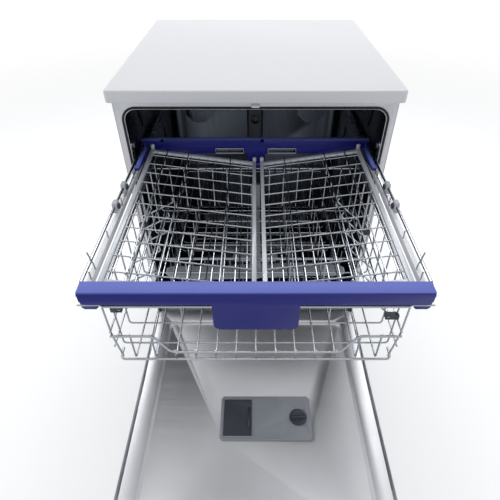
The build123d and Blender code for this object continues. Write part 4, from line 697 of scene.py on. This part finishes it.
def cup_shelf_wires(sizes, side, inset, drop, reach, angle):
    """The wires of one raised cup shelf. Its pivot is this far in from the basket's side and down
    from the bars' tops, and its arms reach in at an angle."""
    wire, rim = sizes.wire / MM, sizes.rim / MM
    lift = radians(angle)
    pivot_x, pivot_z = BASKET_HALF - inset, BAR_TOP - drop

    def at(out, y, up=0.0):
        return (side * (pivot_x - out * cos(lift) + up * sin(lift)), y,
                pivot_z + out * sin(lift) + up * cos(lift))

    start, lip = rim / 2 + WELD, SHELF_LIP
    arms = [[at(start, y), at(reach, y), at(reach + lip[0], y, lip[1])]
            for y in spread(SHELF_FRONT + 12.0, SHELF_BACK - 12.0, SHELF_ARMS)]
    first, last, over = SHELF_FRONT + SHELF_END, SHELF_BACK - SHELF_END, wire + WELD
    rods = [[at(share * reach, first, over), at(share * reach, last, over)] for share in SHELF_RODS]
    pivot = [(side * pivot_x, SHELF_FRONT, pivot_z), (side * pivot_x, SHELF_BACK, pivot_z)]
    return [bent_wires("pivot", [pivot], sizes.rim, resolution=3),
            bent_wires("arms", arms, sizes.wire, 4 * MM, resolution=2),
            bent_wires("rods", rods, sizes.wire, resolution=2)]


class DISHWASHER_OT_cup_shelves(bpy.types.Operator):
    """Bends the two folding cup shelves and fits their clips"""
    bl_idname = "dishwasher.cup_shelves"
    bl_label = "Cup shelves"

    def execute(self, context):
        sizes = settings()[0]
        shelves = (("left_cup_shelf", -1, 11.0, 89.0, 64.0, 29.0),
                   ("right_cup_shelf", 1, 15.0, 108.0, 74.0, 44.0))
        for node, *place in shelves:
            piece = joined(f"{node}_wires", cup_shelf_wires(sizes, *place))
            dress(piece, FINISHES["wire"], node, "wire_steel", node)
        eased_node("shelf_clips", FINISHES["dark"], "upper_rack", "grey_plastic", sizes.moulded_edge)
        return {"FINISHED"}


def tray_place(side):
    """What moves a point of a flat tray to its sloping place, and the tray's width."""
    run = abs(side * TRAY_OUTER - TRAY_INNER[side])
    slope = atan2(TRAY_FALL, run)

    def tipped(x, y, z):
        inward, up = x * cos(slope) + z * sin(slope), z * cos(slope) - x * sin(slope)
        return side * (TRAY_OUTER - inward), y, TRAY_Z + up

    return tipped, hypot(run, TRAY_FALL)


def tray_wires(sizes, side):
    """The mesh and the combs of one cutlery tray."""
    mesh, thin = sizes.mesh / MM, sizes.thin / MM
    at, width = tray_place(side)
    low = mesh - MESH_LIE
    start = TRAY_BAR_HALF * SLIM + WELD
    front = BAR_BACK + END_GAP + END_STRIP + WELD
    back = REAR_FRONT - END_GAP - END_STRIP - WELD
    inset = start + 9.0
    long_wires = [[at(x, front, low), at(x, back, low)] for x in spread(inset, width - inset, 12)]
    cross_z = low + (thin + mesh) / 2 + WELD
    rows = spread(front + 18.0, back - 18.0, 11)
    cross = [[at(start, y, cross_z), at(width - start, y, cross_z)] for y in rows]
    foot = cross_z + mesh / 2 + WELD
    ridge = foot + COMB_HEIGHT
    combs = [width * share for share in COMBS]
    cross += [[at(x, front + 4.0, ridge), at(x, back - 4.0, ridge)] for x in combs]
    posts = [[at(x, y, foot), at(x, y, ridge)] for x in combs for y in rows]
    return [bent_wires("long", long_wires + posts, sizes.thin),
            bent_wires("cross", cross, sizes.mesh, resolution=2)]


def is_tray_bar(low, high):
    """Whether a solid of a tray is one of its flat bars."""
    return sorted(high - low)[1] > TRAY_BAR_LEAST


def slim_bars(bars, side):
    """Draws a tray's two bars in to the width that is seen, with the end strips out to meet them."""
    at, width = tray_place(side)
    middles = [at(x, 0, 0)[0] for x in (0, width)]
    gain = TRAY_BAR_HALF * (1 - SLIM)
    for vertex in bars.data.vertices:
        near = min((vertex.co.x / MM - x for x in middles), key=abs)
        if abs(near) <= TRAY_BAR_HALF + 0.6:
            vertex.co.x -= near * (1 - SLIM) * MM
        elif abs(near) < 2 * TRAY_BAR_HALF:
            vertex.co.x -= copysign(gain * MM, near)
    return bars


def tray_pegs(side):
    """The round pegs that stand on the rear ends of a tray's two bars."""
    at, width = tray_place(side)
    pegs = []
    for x in (0, width):
        peg_x, y, foot = at(x, REAR_FRONT - 8.0, 3.5)
        peg = cylinder(PEG_RADIUS, PEG_HEIGHT, (peg_x, y, foot + PEG_HEIGHT / 2), 24)
        pegs.append(ease_edges(peg, 2.2 * MM, 4))
    return pegs


class DISHWASHER_OT_trays(bpy.types.Operator):
    """Welds the two sloping cutlery trays"""
    bl_idname = "dishwasher.trays"
    bl_label = "Cutlery trays"

    def execute(self, context):
        sizes = settings()[0]
        for node, side in (("left_tray", -1), ("right_tray", 1)):
            wires = joined(f"{node}_wires", tray_wires(sizes, side))
            dress(wires, FINISHES["wire"], node, "tray_wire", node)
            bars = keep_solids(merged_copy(f"{node}_bars", node), is_tray_bar)
            ease_edges(slim_bars(bars, side), sizes.moulded_edge)
            dress(joined(f"{node}_bars", [bars, *tray_pegs(side)]), FINISHES["bar"], node, "tray_wire")
        return {"FINISHED"}


class DISHWASHER_OT_folding_tines(bpy.types.Operator):
    """Stands the folding plate tines on their pivot"""
    bl_idname = "dishwasher.folding_tines"
    bl_label = "Folding tines"

    def execute(self, context):
        sizes = settings()[0]
        pitch = sizes.pitch / MM
        left, right, y, z = -6 * pitch, -pitch, PIVOT_Y, PIVOT_Z
        top = z + sizes.wire / MM / 2 + WELD + FOLDING_HEIGHT
        tines = [[(x, y, z), (x, y, top)] for x in spread(left + 14.0, right - 14.0, FOLDING_TINES)]
        pivot = [(left - 8.0, y, z), (right + 8.0, y, z)]
        piece = joined("folding_tines_wires", [bent_wires("pivot", [pivot], sizes.wire, resolution=3),
                                               bent_wires("tines", tines, sizes.thin)])
        dress(piece, FINISHES["wire"], "folding_tines", "wire_steel", "folding_tines")
        return {"FINISHED"}


def draw_in_ends(bar):
    """Draws the front bar's ends in a little where they meet its front face."""
    face, end = BAR_LOW.y + NEAR * MM, (BAR_HALF - BAR_END) * MM
    for vertex in bar.data.vertices:
        if vertex.co.y < face and abs(vertex.co.x) > end:
            vertex.co.x -= copysign(BAR_END_DRAW * MM, vertex.co.x)


def window_frame(left, right):
    """A bright wire round a window of the rear bar."""
    y, low, high = REAR_FRONT - 0.9, WINDOW_LOW - 1.0, WINDOW_HIGH + 1.0
    left, right = left - 1.0, right + 1.0
    corners = [(left, y, low), (right, y, low), (right, y, high), (left, y, high)]
    return bent_wires("window_frame", [corners], 1.6 * MM, 2 * MM, closed=True)


def window_shade_plate(left, right):
    """A dark plate behind a window of the rear bar: painted shade that hides the lit tub behind it."""
    back = cube((left - 2.0, REAR_FRONT + 3.4, WINDOW_LOW - 1.5),
                (right + 2.0, REAR_FRONT + 4.6, WINDOW_HIGH + 1.5))
    return ease_edges(back, 0.3 * MM)


def cut_away(piece, blocks):
    """Cuts blocks out of a piece."""
    cutter = joined("cutter", blocks)
    only(piece)
    cut = piece.modifiers.new("Cut", "BOOLEAN")
    cut.operation = "DIFFERENCE"
    cut.solver = "EXACT"
    cut.object = cutter
    bpy.ops.object.modifier_apply(modifier=cut.name)
    bpy.data.objects.remove(cutter)
    return piece


def over_slides():
    """The blocks above the slides, where the CAD strips give way to open rods."""
    low, reach, past = SLIDE_TOP + 0.4, 14.0, 2.0
    return [cube((side * BAR_HALF - reach, BAR_BACK - past, low),
                 (side * BAR_HALF + reach, REAR_FRONT + past, BAR_TOP + past)) for side in (-1, 1)]


def side_rods():
    """The rod along each side of the rack and the posts that stand it on its slide."""
    runs, posts = [], []
    for side in (-1, 1):
        x, post_x = side * ROD_X, side * POST_X
        runs.append([(x, BAR_BACK - 1.0, ROD_Z), (x, REAR_FRONT + 1.0, ROD_Z)])
        for y in spread(BAR_BACK + POST_END, REAR_FRONT - POST_END, POST_COUNT):
            posts.append([(post_x, y, ROD_Z), (post_x, y, SLIDE_TOP - 0.5)])
    return joined("side_rods", [bent_wires("rods", runs, SIDE_ROD * MM, resolution=3),
                                bent_wires("posts", posts, POST * MM, resolution=2)])


def side_block(side, y, low, high):
    """A block at one side of the rack, between two corners measured from its bars."""
    inner, outer = sorted((side * (BAR_HALF + low[0]), side * (BAR_HALF + high[0])))
    return cube((inner, y + low[1], BAR_TOP + low[2]), (outer, y + high[1], BAR_TOP + high[2]))


def adjusters():
    """The two clips of each height adjuster, on the side rod, and the dark rollers inside them."""
    clips, rollers = [], []
    for side in (-1, 1):
        for y in CLIP_PLACES:
            clip = side_block(side, y, *CLIP)
            for vertex in clip.data.vertices:
                if vertex.co.z > BAR_TOP * MM:
                    vertex.co.y += copysign(CLIP_TAPER * MM, y * MM - vertex.co.y)
            clips.append(ease_edges(clip, 2.0 * MM, 3))
            roller = cylinder(6.0, 3.4, (side * (BAR_HALF - 9.2), y, BAR_TOP - 5.0), 24, 90)
            rollers.append(ease_edges(roller, 0.8 * MM))
    return joined("height_adjusters", clips), joined("adjuster_rollers", rollers)


def rear_brackets():
    """The arms of the rear bar that reach forward along the outside of the trays."""
    arms = []
    for side in (-1, 1):
        arm, link = (side_block(side, REAR_FRONT, *block) for block in (BRACKET_ARM, BRACKET_LINK))
        for vertex in arm.data.vertices:
            if vertex.co.y < (REAR_FRONT - 60.0) * MM and vertex.co.z < (BAR_TOP - 12.0) * MM:
                vertex.co.z += BRACKET_TAPER * MM
        arms += [ease_edges(arm, 1.2 * MM), ease_edges(link, 0.8 * MM)]
    return joined("rear_brackets", arms)


def wire_stubs():
    """The ends of the rim wire and of the hanging wires, which stand out past the front bar's ends."""
    runs, pins = [], []
    for side in (-1, 1):
        for inner, outer, back, down in ((2.0, 2.4, 9.0, 14.0), (34.0, 1.5, 1.6, 27.5)):
            y, z = BAR_FACE + back, BAR_TOP - down
            runs.append([(side * (BAR_HALF - inner), y, z), (side * (BAR_HALF + outer), y, z)])
        y, post_x = BAR_FACE + 75.0, side * POST_X
        pins.append([(side * (BAR_HALF - 2.1), y, BAR_TOP + 16.0), (post_x, y, BAR_TOP - 14.0),
                     (post_x, y, BAR_TOP - 29.0)])
    return joined("wire_stubs", [bent_wires("stubs", runs, 3.2 * MM, resolution=3),
                                 bent_wires("pins", pins, POST * MM, 4 * MM, resolution=3)])


def is_strip(low, high):
    """Whether a solid of the side rails is a long strip, and not a height adjuster."""
    return (high - low).y > STRIP_LEAST


class DISHWASHER_OT_rack_bars(bpy.types.Operator):
    """Moulds the upper rack's front and rear bars, and fits its side rods, adjusters and feed pipe"""
    bl_idname = "dishwasher.rack_bars"
    bl_label = "Rack bars"

    def execute(self, context):
        edge = settings()[0].moulded_edge
        bar = merged_copy("rack_front_bar_finished", "rack_front_bar")
        draw_in_ends(bar)
        ease_edges(bar, edge * 1.6, 3)
        dress(bar, FINISHES["trim"], "upper_rack", "rack_trim", "rack_front_bar")
        eased_node("rack_rear_bar", FINISHES["trim"], "upper_rack", "rack_trim", edge)
        eased_node("feed_pipe", FINISHES["grey"], "upper_rack", "grey_plastic", edge)
        dress(joined("window_frames", [window_frame(*window) for window in WINDOWS]), FINISHES["wire"],
              "upper_rack", "wire_steel")
        # Painted shade: black plates behind the rear bar's windows darken what is seen through them
        dress(joined("window_shade_plates", [window_shade_plate(*window) for window in WINDOWS]), FINISHES["window"],
              "upper_rack", "grey_plastic")
        dress(rear_brackets(), FINISHES["trim"], "upper_rack", "rack_trim")
        dress(wire_stubs(), FINISHES["wire"], "upper_rack", "wire_steel")
        slides = keep_solids(merged_copy("side_slides", "rack_side_rails"), is_strip)
        slides.name = "side_slides"
        ease_edges(cut_away(slides, over_slides()), edge)
        dress(slides, FINISHES["strip"], "upper_rack", "rack_white", "rack_side_rails")
        dress(side_rods(), FINISHES["wire"], "upper_rack", "rack_white")
        clips, rollers = adjusters()
        dress(clips, FINISHES["lever"], "upper_rack", "grey_plastic")
        dress(rollers, FINISHES["dark"], "upper_rack", "grey_plastic")
        return {"FINISHED"}


class DISHWASHER_OT_cabinet(bpy.types.Operator):
    """Finishes the tub, the cabinet round it, the worktop and the seal"""
    bl_idname = "dishwasher.cabinet"
    bl_label = "Cabinet and tub"

    def execute(self, context):
        edge = settings()[0].pressed_edge
        eased_node("tub", FINISHES["tub"], "cabinet", "tub_steel", edge)
        for node in ("front_frame", "side_panels", "kick_plate"):
            eased_node(node, FINISHES["enamel"], "cabinet", "cabinet_enamel", edge)
        eased_node("top_panel", FINISHES["laminate"], "cabinet", "worktop_laminate", edge * 3)
        eased_node("door_seal", FINISHES["rubber"], "cabinet", "seal_rubber", edge)
        coat(FINISHES["zinc"], "rear_panel")
        for node, body in (("fixed_rails", "cabinet"), ("middle_rails", "middle_rails")):
            eased_node(node, FINISHES["rail"], body, "rail_steel", edge)
        return {"FINISHED"}


class DISHWASHER_OT_door(bpy.types.Operator):
    """Finishes the door's panels, its controls, the dispenser and the latch"""
    bl_idname = "dishwasher.door"
    bl_label = "Door"

    def execute(self, context):
        sizes = settings()[0]
        pressed, moulded_edge = sizes.pressed_edge, sizes.moulded_edge
        for node, look, slot, edge in (("door_inner_panel", "door", "tub_steel", pressed),
                                       ("door_outer_panel", "enamel", "cabinet_enamel", pressed),
                                       ("control_panel", "panel", "control_plastic", moulded_edge),
                                       ("display_window", "window", "display_black", pressed),
                                       ("door_latch", "dark", "grey_plastic", moulded_edge),
                                       ("dispenser_body", "grey", "grey_plastic", moulded_edge)):
            eased_node(node, FINISHES[look], "door", slot, edge)
        for node in ("dispenser_lid", "rinse_aid_cap"):
            eased_node(node, FINISHES["dark"], node, "grey_plastic", pressed)
        for node in ("power_button", "program_button", "option_button", "start_button"):
            eased_node(node, FINISHES["panel"], node, "control_plastic", pressed)
        return {"FINISHED"}


class DISHWASHER_OT_water_parts(bpy.types.Operator):
    """Finishes the duct, the spray arms, the filter, the pumps and the hose ends"""
    bl_idname = "dishwasher.water_parts"
    bl_label = "Water circuit"

    def execute(self, context):
        edge = settings()[0].moulded_edge
        for node in ("upper_spray_arm", "lower_spray_arm", "top_spray_head"):
            eased_node(node, FINISHES["grey"], node, "grey_plastic", edge)
        eased_node("water_duct", FINISHES["dark"], "cabinet", "grey_plastic", edge)
        for node in ("filter_cup", "salt_cap", "overflow_float"):
            eased_node(node, FINISHES["dark"], node, "grey_plastic", edge)
        coat(FINISHES["filter"], "filter_plate")
        coat(FINISHES["dark"], "sump")
        coat(FINISHES["natural"], "softener_tank", "inlet_chamber")
        coat(FINISHES["base"], "circulation_pump", "pump_impeller", "drain_pump", "hose_connections")
        return {"FINISHED"}


def roller_wheel(x, y, z, radius):
    """A basket roller: a rounded tyre, a sunk web, and a hub round the axle."""
    wheel = cylinder(radius, WHEEL_WIDTH, (x, y, z), 40, 90)
    wheel.name = "wheel"
    open_mesh("FACE")
    bpy.ops.object.mode_set(mode="OBJECT")
    for face in wheel.data.polygons:
        face.select = abs(face.normal.x) > 0.9
    bpy.ops.object.mode_set(mode="EDIT")
    for inward, outward in ((3.2, 0.0), (0.6, -2.6), (7.2, 0.0), (0.4, 2.4)):
        bpy.ops.mesh.inset(thickness=inward * MM, depth=outward * MM, use_individual=True)
    bpy.ops.object.mode_set(mode="OBJECT")
    return ease_edges(wheel, 0.5 * MM)


class DISHWASHER_OT_rollers(bpy.types.Operator):
    """Turns the lower basket's eight rollers"""
    bl_idname = "dishwasher.rollers"
    bl_label = "Rollers"

    def execute(self, context):
        for number in range(1, 5):
            node = f"roller_pair_{number}"
            low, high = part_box(node)
            y, z = (low.y + high.y) / 2 / MM, (low.z + high.z) / 2 / MM
            radius = (high.z - low.z) / 2 / MM
            wheels = [roller_wheel(side * (high.x / MM - WHEEL_WIDTH / 2), y, z, radius) for side in (-1, 1)]
            dress(joined(f"{node}_wheels", wheels), FINISHES["grey"], node, "grey_plastic", node)
        return {"FINISHED"}


class DISHWASHER_OT_base_parts(bpy.types.Operator):
    """Finishes the base tray, the feet, the hinges and the weight"""
    bl_idname = "dishwasher.base_parts"
    bl_label = "Base and hinges"

    def execute(self, context):
        sizes = settings()[0]
        eased_node("base_tray", FINISHES["base"], "cabinet", "base_plastic", sizes.moulded_edge)
        for node in ("front_left_foot", "front_right_foot", "rear_feet"):
            eased_node(node, FINISHES["base"], node, "base_plastic", sizes.moulded_edge)
        coat(FINISHES["zinc"], "hinge_brackets", "hinge_arms", "door_springs")
        coat(FINISHES["cast"], "counterweight")
        return {"FINISHED"}


# Stage

FOCAL = 29.72
EYE = (-2.7, -779.5, 1136.0)
LOOK_DOWN = 40.06
SHIFT = (-0.0086, -0.0168)

# Each lamp's name, place, aim and size in metres, and its power in watts
LAMPS = (
    ("top_lamp", (-0.5, -0.9, 3.0), (0, -0.1, 0.5), (2.6, 2.6), 3.0),
    ("side_lamp", (-2.4, -0.2, 1.5), (0, -0.2, 0.6), (1.8, 1.6), 10.0),
    ("side_lamp", (2.4, -0.2, 1.5), (0, -0.2, 0.6), (1.8, 1.6), 10.0),
    ("rear_lamp", (0.0, 1.45, 2.5), (0, -0.3, 0.65), (3.2, 0.5), 30.0),
)
FLOOR_SIZE = 40.0
FADE_START, FADE_END = 1.2, 4.0


def area_light(name, place, aim, size, power):
    """A soft rectangular lamp that points at a place."""
    bpy.ops.object.light_add(type="AREA", location=place)
    lamp = bpy.context.object
    lamp.name = name
    lamp.data.shape = "RECTANGLE"
    lamp.data.size, lamp.data.size_y = size
    lamp.data.energy = power
    lamp.rotation_euler = (Vector(aim) - Vector(place)).to_track_quat("-Z", "Y").to_euler()


def background_light(tree, shown, lit):
    """Shows one shader to the camera, to mirrors and through glass, and lights with the other."""
    path = add(tree, "ShaderNodeLightPath")
    rays = [path.outputs[f"Is {kind} Ray"] for kind in ("Camera", "Glossy", "Transmission")]
    seen = add(tree, "ShaderNodeMath", {0: rays[0], 1: rays[1]}, operation="MAXIMUM")
    seen = add(tree, "ShaderNodeMath", {0: seen.outputs[0], 1: rays[2]}, operation="MAXIMUM")
    return add(tree, "ShaderNodeMixShader", {0: seen.outputs[0], 1: lit, 2: shown}).outputs[0]


def studio_world():
    """An even light round the object, with white behind it where it is seen or reflected."""
    world = bpy.data.worlds.new("Studio")
    bpy.context.scene.world = world
    world.use_nodes = True
    tree = world.node_tree
    shown = tree.nodes["Background"]
    shown.inputs["Color"].default_value = (1, 1, 1, 1)
    shown.inputs["Strength"].default_value = 1.0
    lit = add(tree, "ShaderNodeBackground", {"Color": (0.96, 0.98, 1.0, 1), "Strength": 0.6})
    mixed = background_light(tree, shown.outputs[0], lit.outputs[0])
    tree.links.new(mixed, tree.nodes["World Output"].inputs["Surface"])


def studio_paper():
    """Matt white paper sweep: it keeps the shadow and fades to white away from it."""
    material, tree, shader = finish("Studio paper", linear("F2F2F3"), 0.9)
    glow = add(tree, "ShaderNodeEmission", {"Color": (1, 1, 1, 1), "Strength": 0.22})
    lifted = add(tree, "ShaderNodeAddShader", {0: shader.outputs[0], 1: glow.outputs[0]})
    reach = add(tree, "ShaderNodeVectorMath", {0: position(tree)}, operation="LENGTH").outputs["Value"]
    away = add(tree, "ShaderNodeMapRange", {"Value": reach, "From Min": FADE_START, "From Max": FADE_END},
               interpolation_type="SMOOTHSTEP")
    white = add(tree, "ShaderNodeEmission", {"Color": (1, 1, 1, 1), "Strength": 1.0})
    faded = add(tree, "ShaderNodeMixShader", {0: away.outputs[0], 1: lifted.outputs[0], 2: white.outputs[0]})
    mixed = background_light(tree, faded.outputs[0], shader.outputs[0])
    tree.links.new(mixed, tree.nodes["Material Output"].inputs["Surface"])
    return material


class DISHWASHER_OT_stage(bpy.types.Operator):
    """Sets the floor, the studio lamps and the camera at the photograph's angle"""
    bl_idname = "dishwasher.stage"
    bl_label = "Stage"

    def execute(self, context):
        bpy.ops.mesh.primitive_plane_add(size=FLOOR_SIZE)
        floor = bpy.context.object
        floor.name = "studio_floor"
        floor.data.materials.append(studio_paper())
        studio_world()
        for lamp in LAMPS:
            area_light(*lamp)
        bpy.ops.object.camera_add(location=metres(EYE), rotation=(radians(90 - LOOK_DOWN), 0, 0))
        camera = bpy.context.object
        camera.data.lens = FOCAL
        camera.data.shift_x, camera.data.shift_y = SHIFT
        context.scene.camera = camera
        context.scene.view_settings.view_transform = "Standard"
        return {"FINISHED"}


OPERATORS = (DISHWASHER_OT_cabinet, DISHWASHER_OT_door, DISHWASHER_OT_rack_bars, DISHWASHER_OT_upper_basket,
             DISHWASHER_OT_trays, DISHWASHER_OT_cup_shelves, DISHWASHER_OT_lower_basket,
             DISHWASHER_OT_folding_tines, DISHWASHER_OT_rollers, DISHWASHER_OT_water_parts,
             DISHWASHER_OT_base_parts, DISHWASHER_OT_stage)


class DISHWASHER_PT_panel(bpy.types.Panel):
    """Lists the machine's pieces with their sizes and colours"""
    bl_idname = "DISHWASHER_PT_panel"
    bl_label = "Dishwasher"
    bl_space_type = "VIEW_3D"
    bl_region_type = "UI"
    bl_category = "Dishwasher"

    def draw(self, context):
        for group in settings():
            for name in group.__annotations__:
                self.layout.prop(group, name)
        for operator in OPERATORS:
            self.layout.operator(operator.bl_idname)


CLASSES = (DishwasherSizes, DishwasherColours, *OPERATORS, DISHWASHER_PT_panel)


def register():
    """Adds the classes and the scene's settings."""
    for cls in CLASSES:
        bpy.utils.register_class(cls)
    bpy.types.Scene.dishwasher_sizes = bpy.props.PointerProperty(type=DishwasherSizes)
    bpy.types.Scene.dishwasher_colours = bpy.props.PointerProperty(type=DishwasherColours)


def unregister():
    """Takes them away again."""
    del bpy.types.Scene.dishwasher_colours
    del bpy.types.Scene.dishwasher_sizes
    for cls in reversed(CLASSES):
        bpy.utils.unregister_class(cls)


def main():
    """Builds every piece in order."""
    register()
    make_finishes()
    for operator in OPERATORS:
        group, name = operator.bl_idname.split(".")
        getattr(getattr(bpy.ops, group), name)()


if __name__ == "__main__":
    main()
